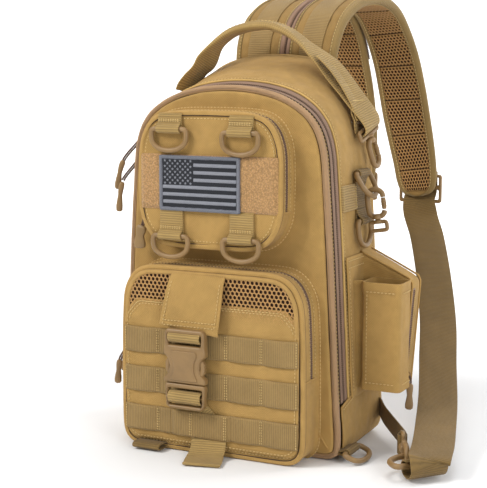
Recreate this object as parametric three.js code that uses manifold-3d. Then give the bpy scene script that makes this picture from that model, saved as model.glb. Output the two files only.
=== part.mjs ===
// Sling pack for tackle: a soft shell bag with two pockets, webbing, rings and two arched shoulder straps.
// Millimetres. +Z is up, the pockets face -Y, the straps stand on the +Y side, +X is the viewer's right.
// Depths in the tables count from the main body's front face; at the end the bag is set down with
// its origin in the middle of the base, on the floor.
import * as THREE from 'three';
import { mergeVertices } from 'three/addons/utils/BufferGeometryUtils.js';
import Module from 'manifold-3d';

const wasm = await Module();
wasm.setup();

// ---------------------------------------------------------------- driving sizes
const GAP = 0.35;            // clearance between neighbouring pieces
const WALL = 2.4;            // shell wall
const BODY_DEPTH = 120;      // front face to back face of the main body
const BASE_MIDDLE = 60;      // the base's middle, behind the front face
const ZIP_FROM = 11.5;       // main zip tape, front edge
const ZIP_TO = 29.7;         // main zip tape, rear edge
const BOOT_Z = 50;           // height of the boot panel that runs under the zip
const UPPER_Y = -25;         // face of the upper pocket
const LOWER_Y = -33;         // face of the lower pocket
const WEB = 1.8;             // webbing thickness
const RING_R = 2.1;          // wire radius of the moulded rings
const RING_GAP = 0.5;        // play of a ring's bar in its loop

// Body outline, one row per station from the middle of the base round to the crown.
const BODY_ROWS = [
  // front half width, front height, rear half width, rear height
  { fx: 0, fz: 0, rx: 0, rz: 0 },
  { fx: 60, fz: 0, rx: 60, rz: 0 },
  { fx: 100, fz: 0, rx: 98, rz: 0 },
  { fx: 112, fz: 2.6, rx: 110, rz: 3 },
  { fx: 117.4, fz: 9, rx: 115.4, rz: 10 },
  { fx: 118.3, fz: 25, rx: 117.2, rz: 25 },
  { fx: 116.6, fz: BOOT_Z - 0.8, rx: 116.4, rz: BOOT_Z - 0.8 },
  { fx: 116.55, fz: BOOT_Z, rx: 116.35, rz: BOOT_Z },
  { fx: 114.8, fz: 80, rx: 114.6, rz: 80 },
  { fx: 112.5, fz: 125, rx: 112.4, rz: 127 },
  { fx: 109.2, fz: 190, rx: 109.2, rz: 193 },
  { fx: 106.8, fz: 227, rx: 107, rz: 234 },
  { fx: 104.5, fz: 260, rx: 104.8, rz: 269 },
  { fx: 102, fz: 290, rx: 101.4, rz: 299 },
  { fx: 96.5, fz: 310, rx: 96, rz: 322 },
  { fx: 88.5, fz: 323, rx: 89, rz: 341 },
  { fx: 79, fz: 332, rx: 80.5, rz: 356 },
  { fx: 66, fz: 340, rx: 69, rz: 368 },
  { fx: 50, fz: 346.5, rx: 54, rz: 376 },
  { fx: 30, fz: 351, rx: 33, rz: 381.5 },
  { fx: 10, fz: 353, rx: 12, rz: 384 },
  { fx: 0, fz: 353.2, rx: 0, rz: 384.2 },
];
// Pocket outlines: half width and height, from the middle of the bottom round to the middle of the top.
const UPPER_MID = -6;
const UPPER_ROWS = [
  { x: 0, z: 199 }, { x: 40, z: 199.6 }, { x: 57, z: 204.5 }, { x: 68.5, z: 216 }, { x: 74.5, z: 232 },
  { x: 75.6, z: 250 }, { x: 75.6, z: 275 }, { x: 75, z: 291 }, { x: 71.8, z: 305 }, { x: 65, z: 317 },
  { x: 54, z: 324.8 }, { x: 35, z: 328.2 }, { x: 0, z: 329 },
];
const LOWER_MID = -0.5;
const LOWER_ROWS = [
  { x: 0, z: 0.4 }, { x: 60, z: 0.4 }, { x: 80, z: 1.2 }, { x: 90, z: 5 }, { x: 95.6, z: 13 },
  { x: 97.4, z: 28 }, { x: 97.4, z: 70 }, { x: 97, z: 110 }, { x: 96.2, z: 132 }, { x: 94.8, z: 150 },
  { x: 91, z: 162 }, { x: 84, z: 172 }, { x: 73, z: 178.4 }, { x: 55, z: 180.6 }, { x: 0, z: 181 },
];
// Tackle webbing rows on the lower pocket: bottom and top height.
const MOLLE_ROWS = [
  { name: 'molle_row_top', lo: 95, hi: 120 },
  { name: 'molle_row_middle', lo: 56, hi: 81 },
  { name: 'molle_row_bottom', lo: 17, hi: 42 },
];
// Shoulder straps: one row per section. x is the middle of the right-hand one, xl of the left-hand one.
const STRAP_ROWS = [
  { x: 32, xl: -24.5, y: 126, z: 358, half: 27, thick: 7 },
  { x: 32.5, xl: -25, y: 127.5, z: 379, half: 27.5, thick: 8 },
  { x: 33.5, xl: -25, y: 135, z: 400, half: 28, thick: 9 },
  { x: 36, xl: -22.5, y: 151, z: 420, half: 28, thick: 10 },
  { x: 39, xl: -19.5, y: 179, z: 434, half: 28, thick: 10 },
  { x: 42, xl: -16.5, y: 212, z: 440, half: 28, thick: 10 },
  { x: 45, xl: -12.5, y: 246, z: 439, half: 27.5, thick: 10 },
  { x: 48, xl: -8.5, y: 278, z: 428, half: 27, thick: 10 },
  { x: 51.5, xl: -6.5, y: 303, z: 404, half: 27, thick: 10 },
  { x: 55.5, xl: -6.5, y: 320, z: 375, half: 27.5, thick: 10 },
  { x: 57.5, xl: -6.5, y: 335, z: 343, half: 28, thick: 10 },
  { x: 60, xl: -6.5, y: 345, z: 312, half: 28, thick: 10 },
  { x: 63.5, xl: -6.5, y: 353, z: 282, half: 27, thick: 9.5 },
  { x: 67, xl: -7, y: 356.5, z: 258, half: 25.5, thick: 9 },
  { x: 70.5, xl: -8, y: 357, z: 232, half: 23.5, thick: 8 },
  { x: 72, xl: -8.5, y: 356.5, z: 217, half: 19, thick: 5 },
];
// Strap ring seats: how far along the strap's rows each ring's bar lies.
const STRAP_RING_AT = [{ name: 'upper', row: 8.55 }, { name: 'lower', row: 11.35 }];

// ---------------------------------------------------------------- small tools
const V = (x, y, z) => new THREE.Vector3(x, y, z);
const lerp = (a, b, t) => a + (b - a) * t;
const bag = new THREE.Group();

const FINISH = {
  cloth: { color: 0xb8935a, roughness: 0.92, metalness: 0 },
  web: { color: 0xb39a5c, roughness: 0.85, metalness: 0 },
  mesh: { color: 0x7d5c3c, roughness: 0.95, metalness: 0 },
  tape: { color: 0x9c7a60, roughness: 0.85, metalness: 0 },
  loop: { color: 0xd9ae7b, roughness: 0.98, metalness: 0 },
  patch: { color: 0x707070, roughness: 0.9, metalness: 0 },
  hard: { color: 0xa98358, roughness: 0.55, metalness: 0 },
};

function geometryOf(verts, tris) {
  const g = new THREE.BufferGeometry();
  g.setAttribute('position', new THREE.Float32BufferAttribute(verts.flatMap((v) => [v.x, v.y, v.z]), 3));
  g.setIndex(tris.flat());
  return g;
}
function signedVolume(verts, tris) {
  let six = 0;
  for (const [a, b, c] of tris) six += verts[a].dot(V(0, 0, 0).crossVectors(verts[b], verts[c]));
  return six / 6;
}
// Skin through rings of equal length; ends capped from a flat outline, or the last ring joined to the first.
function loft(rings, { loop = false } = {}) {
  const n = rings[0].length;
  const verts = rings.flat();
  const tris = [];
  const last = loop ? rings.length : rings.length - 1;
  for (let r = 0; r < last; r++) {
    const a = r * n;
    const b = ((r + 1) % rings.length) * n;
    for (let k = 0; k < n; k++) {
      const k2 = (k + 1) % n;
      tris.push([a + k, a + k2, b + k2], [a + k, b + k2, b + k]);
    }
  }
  if (!loop) {
    const cap = (base, flip) => {
      const ring = verts.slice(base, base + n);
      const mid = ring.reduce((s, v) => s.add(v), V(0, 0, 0)).multiplyScalar(1 / n);
      const normal = V(0, 0, 0);
      for (let k = 0; k < n; k++) {
        const p = ring[k].clone().sub(mid);
        normal.add(p.cross(ring[(k + 1) % n].clone().sub(mid)));
      }
      normal.normalize();
      const ux = ring[0].clone().sub(mid).normalize();
      const uy = V(0, 0, 0).crossVectors(normal, ux);
      const flat = ring.map((v) => new THREE.Vector2(v.clone().sub(mid).dot(ux), v.clone().sub(mid).dot(uy)));
      for (const [p, q, s] of THREE.ShapeUtils.triangulateShape(flat, [])) {
        tris.push(flip ? [base + s, base + q, base + p] : [base + p, base + q, base + s]);
      }
    };
    cap(0, true);
    cap((rings.length - 1) * n, false);
  }
  if (signedVolume(verts, tris) < 0) tris.forEach((t) => t.reverse());
  return geometryOf(verts, tris);
}
function add(name, geometry, finish) {
  const mesh = new THREE.Mesh(geometry, new THREE.MeshStandardMaterial(FINISH[finish]));
  mesh.name = name;
  bag.add(mesh);
  return mesh;
}
// Closed mesh to solid and back, for the few pieces that are joined from two forms.
function toSolid(geometry) {
  const bare = new THREE.BufferGeometry();
  bare.setAttribute('position', geometry.getAttribute('position').clone());
  if (geometry.index) bare.setIndex(geometry.index.clone());
  const g = mergeVertices(bare, 1e-4);
  return new wasm.Manifold(new wasm.Mesh({
    numProp: 3,
    vertProperties: new Float32Array(g.getAttribute('position').array),
    triVerts: new Uint32Array(g.index.array),
  }));
}
function fromSolid(solid) {
  const m = solid.getMesh();
  const g = new THREE.BufferGeometry();
  g.setAttribute('position', new THREE.Float32BufferAttribute(m.vertProperties, 3));
  g.setIndex(Array.from(m.triVerts));
  return g;
}
const join = (...parts) => fromSolid(parts.map(toSolid).reduce((a, b) => a.add(b)));

// A flat outline with holes, thickened. u, v span the outline, it grows along w = u x v.
function plate(shape, depth, origin, u, v) {
  const g = new THREE.ExtrudeGeometry(shape, { depth, bevelEnabled: false, curveSegments: 6, steps: 1 });
  const w = V(0, 0, 0).crossVectors(u, v);
  g.applyMatrix4(new THREE.Matrix4().makeBasis(u, v, w).setPosition(origin));
  return g;
}
const shapeOf = (pts, holes = []) => {
  const s = new THREE.Shape(pts.map(([a, b]) => new THREE.Vector2(a, b)));
  for (const h of holes) s.holes.push(new THREE.Path(h.map(([a, b]) => new THREE.Vector2(a, b))));
  return s;
};
const rect = (x0, y0, x1, y1) => [[x0, y0], [x1, y0], [x1, y1], [x0, y1]];
// Rectangle with its corners cut by c.
const chamfered = (x0, y0, x1, y1, c) => [
  [x0 + c, y0], [x1 - c, y0], [x1, y0 + c], [x1, y1 - c], [x1 - c, y1], [x0 + c, y1], [x0, y1 - c], [x0, y0 + c],
];
const circle = (cx, cy, r, n = 10, from = 0) => Array.from({ length: n }, (_, k) => {
  const a = from + (2 * Math.PI * k) / n;
  return [cx + r * Math.cos(a), cy + r * Math.sin(a)];
});

// Ring of a body section at depth y, moved inward by inset (mm) in its own plane.
function bodyBase(y) {
  const t = Math.min(1, Math.max(0, (y - 16) / (BODY_DEPTH - 18)));
  const half = BODY_ROWS.map((r) => [lerp(r.fx, r.rx, t), lerp(r.fz, r.rz, t)]);
  return mirrorOutline(half, 0);
}
function mirrorOutline(half, mid) {
  const right = half.map(([x, z]) => [mid + x, z]);
  const left = half.slice(1, -1).reverse().map(([x, z]) => [mid - x, z]);
  return [...right, ...left];
}
function insetOutline(pts, inset) {
  const n = pts.length;
  return pts.map((p, k) => {
    const a = pts[(k + n - 1) % n];
    const b = pts[(k + 1) % n];
    const dx = b[0] - a[0];
    const dz = b[1] - a[1];
    const len = Math.hypot(dx, dz);
    return [p[0] - (dz / len) * inset, p[1] + (dx / len) * inset];
  });
}
const ringAt = (y, inset) => insetOutline(bodyBase(y), inset).map(([x, z]) => V(x, y, z));
const RING_COUNT = bodyBase(0).length;

// Height of the body's top, and half width of its side, at a place.
function topZ(x, y) {
  const half = bodyBase(y).slice(0, BODY_ROWS.length).reverse();
  const ax = Math.abs(x);
  for (let k = 0; k + 1 < half.length; k++) {
    if (ax >= half[k][0] && ax <= half[k + 1][0]) {
      const t = (ax - half[k][0]) / Math.max(1e-6, half[k + 1][0] - half[k][0]);
      return lerp(half[k][1], half[k + 1][1], t);
    }
  }
  return half[half.length - 1][1];
}
function sideX(y, z) {
  const half = bodyBase(y).slice(0, BODY_ROWS.length);
  for (let k = 2; k + 1 < half.length; k++) {
    if (z >= half[k][1] && z <= half[k + 1][1]) {
      const t = (z - half[k][1]) / Math.max(1e-6, half[k + 1][1] - half[k][1]);
      return lerp(half[k][0], half[k + 1][0], t);
    }
  }
  return half[4][0];
}

// Webbing along a route: each station has a point p, a width direction w and a half width.
function band(stations, thick, { round = 0.3 } = {}) {
  const rings = stations.map((s, i) => {
    const a = stations[Math.max(0, i - 1)].p;
    const b = stations[Math.min(stations.length - 1, i + 1)].p;
    const t = b.clone().sub(a).normalize();
    const w = s.w.clone().addScaledVector(t, -s.w.dot(t)).normalize();
    const n = V(0, 0, 0).crossVectors(w, t).normalize();
    const h = s.half;
    const d = (s.thick ?? thick) / 2;
    const e = Math.min(d * 0.98, d * (1 - round));
    const put = (c, f) => s.p.clone().addScaledVector(w, c).addScaledVector(n, f);
    return [put(-h + d, -d), put(h - d, -d), put(h, -e * 0.5), put(h, e * 0.5), put(h - d, d), put(-h + d, d), put(-h, e * 0.5), put(-h, -e * 0.5)];
  });
  return loft(rings);
}

// ---------------------------------------------------------------- body shells
const rearParts = []; // the shell and, further down, the two corner tabs sewn into its seam
{
  const outer = [[11.2, 0], [3.4, 0], [1.1, 1.4], [0, 5]];
  const inner = [[WALL, 7], [3.8, WALL], [11.2, WALL]];
  add('front_shell', loft([...inner, ...outer].map(([y, inset]) => ringAt(y, inset))), 'cloth');

  const bootTop = 6;
  const rim = (k) => {
    const row = Math.min(k, RING_COUNT - k);
    return row <= bootTop ? ZIP_FROM : ZIP_TO + GAP;
  };
  const varied = (inset) => Array.from({ length: RING_COUNT }, (_, k) => {
    const y = rim(k);
    return ringAt(y, inset)[k];
  });
  rearParts.push(loft([
    ringAt(BODY_DEPTH - WALL, 9), ringAt(114, WALL), ringAt(75, WALL), varied(WALL),
    varied(0), ringAt(75, 0), ringAt(112, 0.4), ringAt(118, 3), ringAt(BODY_DEPTH, 8),
  ]));

  // Zip tape: an arch from one boot edge over the crown to the other, sunk 0.7 mm below the shells.
  const first = bootTop + 1;
  const stations = [];
  for (let k = first; k <= RING_COUNT - first; k++) stations.push(k);
  const section = [[ZIP_FROM + 0.1, 0.7], [ZIP_TO - 0.1, 0.7], [ZIP_TO - 0.1, 2.5], [ZIP_FROM + 0.1, 2.5]];
  const loops = section.map(([y, inset]) => ringAt(y, inset));
  add('main_zip', loft(stations.map((k, i) => section.map((_, j) => {
    const p = loops[j][k].clone();
    if (i === 0) p.lerp(loops[j][k + 1], 0.02);
    if (i === stations.length - 1) p.lerp(loops[j][k - 1], 0.02);
    return p;
  }))), 'tape');
}

// ---------------------------------------------------------------- back pad
{
  const PAD = [
    { x: 0, z: 7 }, { x: 84, z: 7 }, { x: 92, z: 12 }, { x: 95, z: 24 }, { x: 95, z: 100 }, { x: 94, z: 160 },
    { x: 92, z: 184 }, { x: 84, z: 196 }, { x: 66, z: 205 }, { x: 40, z: 211 }, { x: 0, z: 214 },
  ];
  const outline = mirrorOutline(PAD.map((r) => [r.x, r.z]), 0);
  const mid = (PAD[0].z + PAD[PAD.length - 1].z) / 2;
  const scaled = (y, f) => outline.map(([x, z]) => V(x * f, y, mid + (z - mid) * f));
  add('back_pad', loft([
    scaled(BODY_DEPTH + GAP, 0.97), scaled(BODY_DEPTH + 2, 1), scaled(BODY_DEPTH + 5.5, 0.995), scaled(BODY_DEPTH + 8, 0.94), scaled(BODY_DEPTH + 8.6, 0.85),
  ]), 'mesh');
}

// ---------------------------------------------------------------- pockets
function pocket(rows, mid, face, base) {
  const outline = mirrorOutline(rows.map((r) => [r.x, r.z]), mid);
  const at = (y, inset) => insetOutline(outline, inset).map(([x, z]) => V(x, y, z));
  return loft([
    at(face + WALL, 6), at(face + 4.5, WALL), at(-GAP, WALL - base),
    at(-GAP, -base), at(face + 3.5, 0), at(face + 1, 1.2), at(face, 3.6),
  ]);
}
add('upper_pocket', pocket(UPPER_ROWS, UPPER_MID, UPPER_Y, 1.6), 'cloth');
// Flattened webbing loop sewn in the lower pocket's bottom seam.
const SEAM_LOOP = {
  outline: [[-32.2, 1.2], [-44, 0.6], [-48.6, 2.4], [-49, 5.2], [-46, 7], [-38, 6.9], [-32.2, 5.6]],
  hole: [[-36, 2.9], [-36, 5], [-45, 5.1], [-46.6, 4.1], [-44.4, 2.7]],
  from: -79, width: 30,
};
add('lower_pocket', join(
  pocket(LOWER_ROWS, LOWER_MID, LOWER_Y, 0),
  plate(shapeOf(SEAM_LOOP.outline, [SEAM_LOOP.hole]), SEAM_LOOP.width, V(SEAM_LOOP.from, 0, 0), V(0, 1, 0), V(0, 0, 1)),
), 'cloth');

const FRONT_U = V(1, 0, 0);
const FRONT_V = V(0, 0, 1);
// A plate on the front: outline in x and z, from depth y forward by t.
const frontPlate = (pts, y, t, holes) => plate(shapeOf(pts, holes), t, V(0, y, 0), FRONT_U, FRONT_V);

add('loop_panel', frontPlate(chamfered(UPPER_MID - 73, 235, UPPER_MID + 73, 288, 1.5), UPPER_Y - GAP, 1.4), 'loop');
add('flag_patch', frontPlate(chamfered(-57, 234, 29, 287.4, 1.2), UPPER_Y - GAP - 1.4 - GAP, 2.4), 'patch');

const PANEL_Y = LOWER_Y - GAP;
add('molle_panel', frontPlate([
  [-84, 7.5], [83, 7.5], [91, 14], [92.6, 24], [92.6, 134], [80, 148], [-81, 148], [-93.6, 134], [-93.6, 24], [-92, 14],
], PANEL_Y, 1.5), 'cloth');

// Tackle rows: webbing that lifts a little between its sewn lines. The bottom row clears the buckle's strap.
const ROW_Y = PANEL_Y - 1.5 - GAP;
const SEWN_PITCH = 38;
const STRAP_LIFT = { lo: -42, hi: 24, by: WEB + 0.8 };
for (const row of MOLLE_ROWS) {
  const half = 92.5;
  const stops = [];
  for (let x = -half; x <= half + 0.01; x += SEWN_PITCH / 4 * 0.9736) stops.push(x);
  const lift = (x) => {
    const wave = Math.pow(Math.abs(Math.sin((Math.PI * (x + half)) / (SEWN_PITCH * 0.9736))), 0.8) * 1.1;
    const over = row.name === 'molle_row_bottom' && x > STRAP_LIFT.lo && x < STRAP_LIFT.hi ? STRAP_LIFT.by : 0;
    return Math.max(wave, over);
  };
  const back = stops.map((x) => [x + LOWER_MID, -(ROW_Y - lift(x))]);
  const front = stops.map((x) => [x + LOWER_MID, -(ROW_Y - lift(x)) + WEB]).reverse();
  // outline in x and -y, grown downward from its top edge
  const g = new THREE.ExtrudeGeometry(shapeOf([...back, ...front]), { depth: row.hi - row.lo, bevelEnabled: false, steps: 1 });
  g.applyMatrix4(new THREE.Matrix4().makeBasis(V(1, 0, 0), V(0, -1, 0), V(0, 0, -1)).setPosition(0, 0, row.hi));
  add(row.name, g, 'web');
}

// ---------------------------------------------------------------- buckle and its strap
const BUCKLE_X = -19.5;
{
  const w = V(1, 0, 0);
  add('buckle_flap', band([
    { p: V(-10, -29.5, 183.2), w, half: 29 },
    { p: V(-10.2, -33.5, 183.6), w, half: 29 },
    { p: V(-11, -38.6, 178), w, half: 29 },
    { p: V(-13, -41, 162), w, half: 30 },
    { p: V(-15.5, -43, 143), w, half: 30.5 },
    { p: V(-17.6, -44.6, 127.4), w, half: 31 },
  ], 2.4), 'cloth');
  const bar = (z0, z1, half) => rect(BUCKLE_X - half, z0, BUCKLE_X + half, z1);
  add('buckle_socket', frontPlate(
    chamfered(BUCKLE_X - 22.5, 71, BUCKLE_X + 22.5, 124, 4), -41.6, 9.4, [bar(112, 118, 18)]), 'hard');
  add('buckle_plug', frontPlate(
    chamfered(BUCKLE_X - 21.5, 45.5, BUCKLE_X + 21.5, 70.6, 3), -42.4, 7.6, [bar(49.4, 56.6, 18.8), bar(61, 65, 18)]), 'hard');
  add('buckle_strap', band([
    { p: V(-19.5, -51.2, 62), w, half: 17.5 },
    { p: V(-19.5, -51.6, 58.4), w, half: 17.5 },
    { p: V(-19.5, -50.4, 55.2), w, half: 17.5 },
    { p: V(-19.5, -46, 53.4), w, half: 17.5 },
    { p: V(-19.5, -41.2, 51.6), w, half: 17.5 },
    { p: V(-19, -37.6, 47), w, half: 17.5 },
    { p: V(-16.5, -36.5, 40), w, half: 18 },
    { p: V(-8, -36.4, 30), w, half: 18.5 },
    { p: V(-1.5, -36.3, 21), w, half: 18.5 },
    { p: V(0, -37, 15), w, half: 18.5 },
    { p: V(0.6, -40.8, 7.4), w, half: 18.5 },
    { p: V(1.6, -48, 2.9), w, half: 18.5 },
    { p: V(4.5, -57, 1.9), w, half: 18.5 },
    { p: V(7.5, -65, 1.5), w, half: 18.5 },
  ], 1.6), 'web');
}

// ---------------------------------------------------------------- rings and their sewn loops
// A ring's seat: bar centre, bar direction a, hanging direction d, outward direction n (n = a x d or its opposite).
function seat(centre, a, d) {
  a = a.clone().normalize();
  d = d.clone().addScaledVector(a, -d.dot(a)).normalize();
  return { centre, a, d };
}
function ring(s, inside, drop, r = RING_R, sides = 7) {
  const half = inside / 2 + r;
  const path = [];
  for (const t of [-0.72, 0, 0.72]) path.push([half * t, 0]);
  path.push([half * 0.97, 1.2], [half * 1.04, 5]);
  const arc = 8;
  for (let k = 0; k <= arc; k++) {
    const ang = (Math.PI * k) / arc;
    path.push([half * 1.02 * Math.cos(ang), 8 + (drop - 8) * Math.sin(ang)]);
  }
  path.push([-half * 1.04, 5], [-half * 0.97, 1.2]);
  const n = V(0, 0, 0).crossVectors(s.a, s.d);
  const pts = path.map(([u, v]) => s.centre.clone().addScaledVector(s.a, u).addScaledVector(s.d, v));
  const rings = pts.map((p, i) => {
    const before = pts[(i + pts.length - 1) % pts.length];
    const after = pts[(i + 1) % pts.length];
    const t = after.clone().sub(before).normalize();
    const side = V(0, 0, 0).crossVectors(t, n).normalize();
    return Array.from({ length: sides }, (_, k) => {
      const q = (2 * Math.PI * k) / sides;
      return p.clone().addScaledVector(side, r * Math.cos(q)).addScaledVector(n, r * Math.sin(q));
    });
  });
  return loft(rings, { loop: true });
}
// Sewn loop: wraps the bar and runs back along the cloth by 'tail'; out is the outward direction.
function ringTab(s, out, width, tail, r = RING_R) {
  const hole = r + RING_GAP;
  const big = hole + 1.5;
  const inward = -big;
  // outline in (out, down): full round loop plus a straight tail on its inner side
  const outline = [];
  const steps = 12;
  for (let k = 0; k <= steps; k++) {
    const ang = Math.PI - (Math.PI * 1.32 * k) / steps; // from the inner side, under, round to the top
    outline.push([big * Math.cos(ang), big * Math.sin(ang)]);
  }
  outline.push([inward + 2.8, -big * 1.15], [inward + 1.5, -big * 1.6], [inward + 1.5, -tail], [inward, -tail]);
  const g = new THREE.ExtrudeGeometry(shapeOf(outline, [circle(0, 0, hole, 10)]), { depth: width, bevelEnabled: false, steps: 1 });
  const w = V(0, 0, 0).crossVectors(out, s.d);
  g.applyMatrix4(new THREE.Matrix4().makeBasis(out, s.d, w).setPosition(s.centre.clone().addScaledVector(w, -width / 2)));
  return g;
}
const seatOut = (r) => r + RING_GAP + 1.5 + GAP; // bar centre to the cloth that the loop is sewn to
const SEAT_OUT = seatOut(RING_R);

const FRONT_RINGS = [
  { name: 'upper_left', x: -46, z: 312, tail: 12, y: UPPER_Y },
  { name: 'upper_right', x: 29.5, z: 310, tail: 13, y: UPPER_Y },
  { name: 'lower_left', x: -45, z: 210, tail: 23, y: UPPER_Y },
  { name: 'lower_right', x: 30, z: 210, tail: 23, y: UPPER_Y },
];
for (const f of FRONT_RINGS) {
  const s = seat(V(f.x, f.y - SEAT_OUT, f.z), V(1, 0, 0), V(0, 0, -1));
  add(`tab_${f.name}`, ringTab(s, V(0, -1, 0), 25, f.tail), 'web');
  add(`ring_${f.name}`, ring(s, 32, 20.3), 'hard');
}

// ---------------------------------------------------------------- snap hooks
// Flat hook in its own plane: eye slot at the top, long loop below with a sprung gate on its +u side.
// Local u is across, v runs from the eye's bar (0) down to the bend.
const HOOK = { thick: 5, loopHalf: 10.5, wire: 4.6, eyeDrop: 9.5, loopTop: 14.5, loopEnd: 43.5 };
function hookShapes(eyeHalf) {
  const H = HOOK;
  const inner = H.loopHalf - H.wire;
  const outline = [
    [-eyeHalf, 1.6], [-eyeHalf + 1.6, 0], [eyeHalf - 1.6, 0], [eyeHalf, 1.6], [eyeHalf, H.eyeDrop - 1], [eyeHalf - 2.5, H.eyeDrop + 2],
    [4.5, H.eyeDrop + 3], [5, H.loopTop - 0.6], [H.loopHalf, H.loopTop + 3.2], [H.loopHalf, H.loopTop + 7],
    [inner, H.loopTop + 7], [inner, H.loopTop + 6], [inner - 2.4, H.loopTop + 3.6], [-inner + 2.4, H.loopTop + 3.6], [-inner, H.loopTop + 6],
    [-inner, H.loopEnd - 8.6], [-inner + 2.4, H.loopEnd - 5.4], [0, H.loopEnd - H.wire], [inner - 2.4, H.loopEnd - 5.4], [inner, H.loopEnd - 8.6], [inner, H.loopEnd - 10.5],
    [H.loopHalf, H.loopEnd - 10.5], [H.loopHalf, H.loopEnd - 7], [H.loopHalf - 4, H.loopEnd - 2], [0, H.loopEnd], [-H.loopHalf + 4, H.loopEnd - 2],
    [-H.loopHalf, H.loopEnd - 7], [-H.loopHalf, H.loopTop + 3.2], [-5, H.loopTop - 0.6], [-4.5, H.eyeDrop + 3], [-eyeHalf + 2.5, H.eyeDrop + 2], [-eyeHalf, H.eyeDrop - 1],
  ];
  const slot = rect(-eyeHalf + 3, 3.4, eyeHalf - 3, H.eyeDrop - 1.2);
  const gate = chamfered(inner + 0.4, H.loopTop + 7 + GAP, H.loopHalf - 0.2, H.loopEnd - 10.5 - GAP, 0.8);
  // The same hook parted at its neck: the eye, and the loop below it with a collar for the eye's post.
  const neck = H.eyeDrop + 3;
  const eyeOnly = [...outline.slice(0, 7), [-4.5, neck], ...outline.slice(-2)];
  const loopOnly = [[-4, neck + GAP], [4, neck + GAP], ...outline.slice(8, 28)];
  return {
    hook: shapeOf(outline, [slot]), gate: shapeOf(gate), pivot: [inner + 2.2, H.loopTop + 8.6],
    eyeOnly: shapeOf(eyeOnly, [slot]), loopOnly: shapeOf(loopOnly), neck,
  };
}
// Round post between two distances down the hook.
function rod(o, down, from, to, r) {
  const g = new THREE.CylinderGeometry(r, r, to - from, 12);
  g.applyQuaternion(new THREE.Quaternion().setFromUnitVectors(V(0, 1, 0), down));
  const c = o.clone().addScaledVector(down, (from + to) / 2);
  return g.translate(c.x, c.y, c.z);
}
// at: middle of the eye's bar; down: along the hook; across: in its plane.
function snapHook(name, at, down, across, eyeHalf, swivel = false) {
  down = down.clone().normalize();
  across = across.clone().addScaledVector(down, -across.dot(down)).normalize();
  const w = V(0, 0, 0).crossVectors(across, down);
  const { hook, gate, eyeOnly, loopOnly, neck } = hookShapes(eyeHalf);
  const o = at.clone().addScaledVector(down, -1.7);
  const cut = (shape) => plate(shape, HOOK.thick, o.clone().addScaledVector(w, -HOOK.thick / 2), across, down);
  if (swivel) {
    const post = rod(o, down, neck - 2, neck + 4.4, 2);
    const collar = rod(o, down, neck + GAP, neck + 5.6, 4.4);
    const socket = rod(o, down, neck, neck + 4.8, 2.5);
    add(`${name}_swivel`, join(cut(eyeOnly), post), 'hard');
    add(`${name}_hook`, fromSolid(toSolid(cut(loopOnly)).add(toSolid(collar)).subtract(toSolid(socket))), 'hard');
  } else add(`${name}_hook`, cut(hook), 'hard');
  add(`${name}_gate`, plate(gate, HOOK.thick - 1, o.clone().addScaledVector(w, -(HOOK.thick - 1) / 2), across, down), 'hard');
}

// ---------------------------------------------------------------- carry handle
const HANDLE_EYE = V(107.5, 93, 311.9);
{
  const lie = (x, y, up) => V(x, y, topZ(x, y) + up);
  const slope = (x, y) => lie(x + 8, y + 17, 0).sub(lie(x - 8, y - 17, 0)).normalize();
  const wy = V(0, 1, 0);
  const we = V(0, 1, 0.26);
  const st = [
    { p: lie(-80, 65, 5.4), w: slope(-80, 65), half: 18 },
    { p: lie(-74, 67, 8), w: slope(-74, 67), half: 18.5 },
    { p: lie(-68, 70, 9.4), w: slope(-68, 70), half: 18 },
    { p: V(-60, 75, 376), w: slope(-62, 74), half: 17.5, thick: 3 },
    { p: V(-50, 79, 392), w: wy, half: 14.5, thick: 5 },
    { p: V(-36, 83, 403.5), w: wy, half: 12.5, thick: 7 },
    { p: V(-17, 85, 409.5), w: wy, half: 11.5, thick: 8 },
    { p: V(6, 85, 410.5), w: wy, half: 11.5, thick: 8 },
    { p: V(26, 85.5, 404), w: wy, half: 12.5, thick: 7 },
    { p: V(43, 86, 393), w: wy, half: 14.5, thick: 5 },
    { p: V(57, 87, 382), w: V(0.2, 1, 0), half: 17.5, thick: 3 },
    { p: V(68, 88, 372.5), w: V(0.32, 1, 0), half: 19 },
    { p: V(79, 88.5, 360), w: V(0.36, 1, 0), half: 19 },
    { p: V(88.5, 89, 346), w: V(0.3, 1, 0), half: 19 },
    { p: V(95, 90, 333.5), w: V(0.2, 1, 0.05), half: 19 },
    { p: V(99.6, 92, 322.5), w: V(0.08, 1, 0.14), half: 19 },
    { p: V(101.9, 92.4, 315), w: we, half: 19 },
    { p: V(103, 93.6, 309.8), w: we, half: 19 },
    { p: V(107.6, 94.2, 307.4), w: we, half: 19 },
    { p: V(112.4, 93.6, 309.8), w: we, half: 19 },
    { p: V(113, 92.4, 314.5), w: we, half: 19 },
    { p: V(110.2, 92.5, 321), w: we, half: 19 },
    { p: V(105.4, 92, 329), w: wy, half: 19 },
  ];
  add('carry_handle', band(st, WEB), 'web');
}
snapHook('handle', HANDLE_EYE, V(0.2, 0.26, -1), V(0, 1, 0.26), 24, true);

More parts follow.
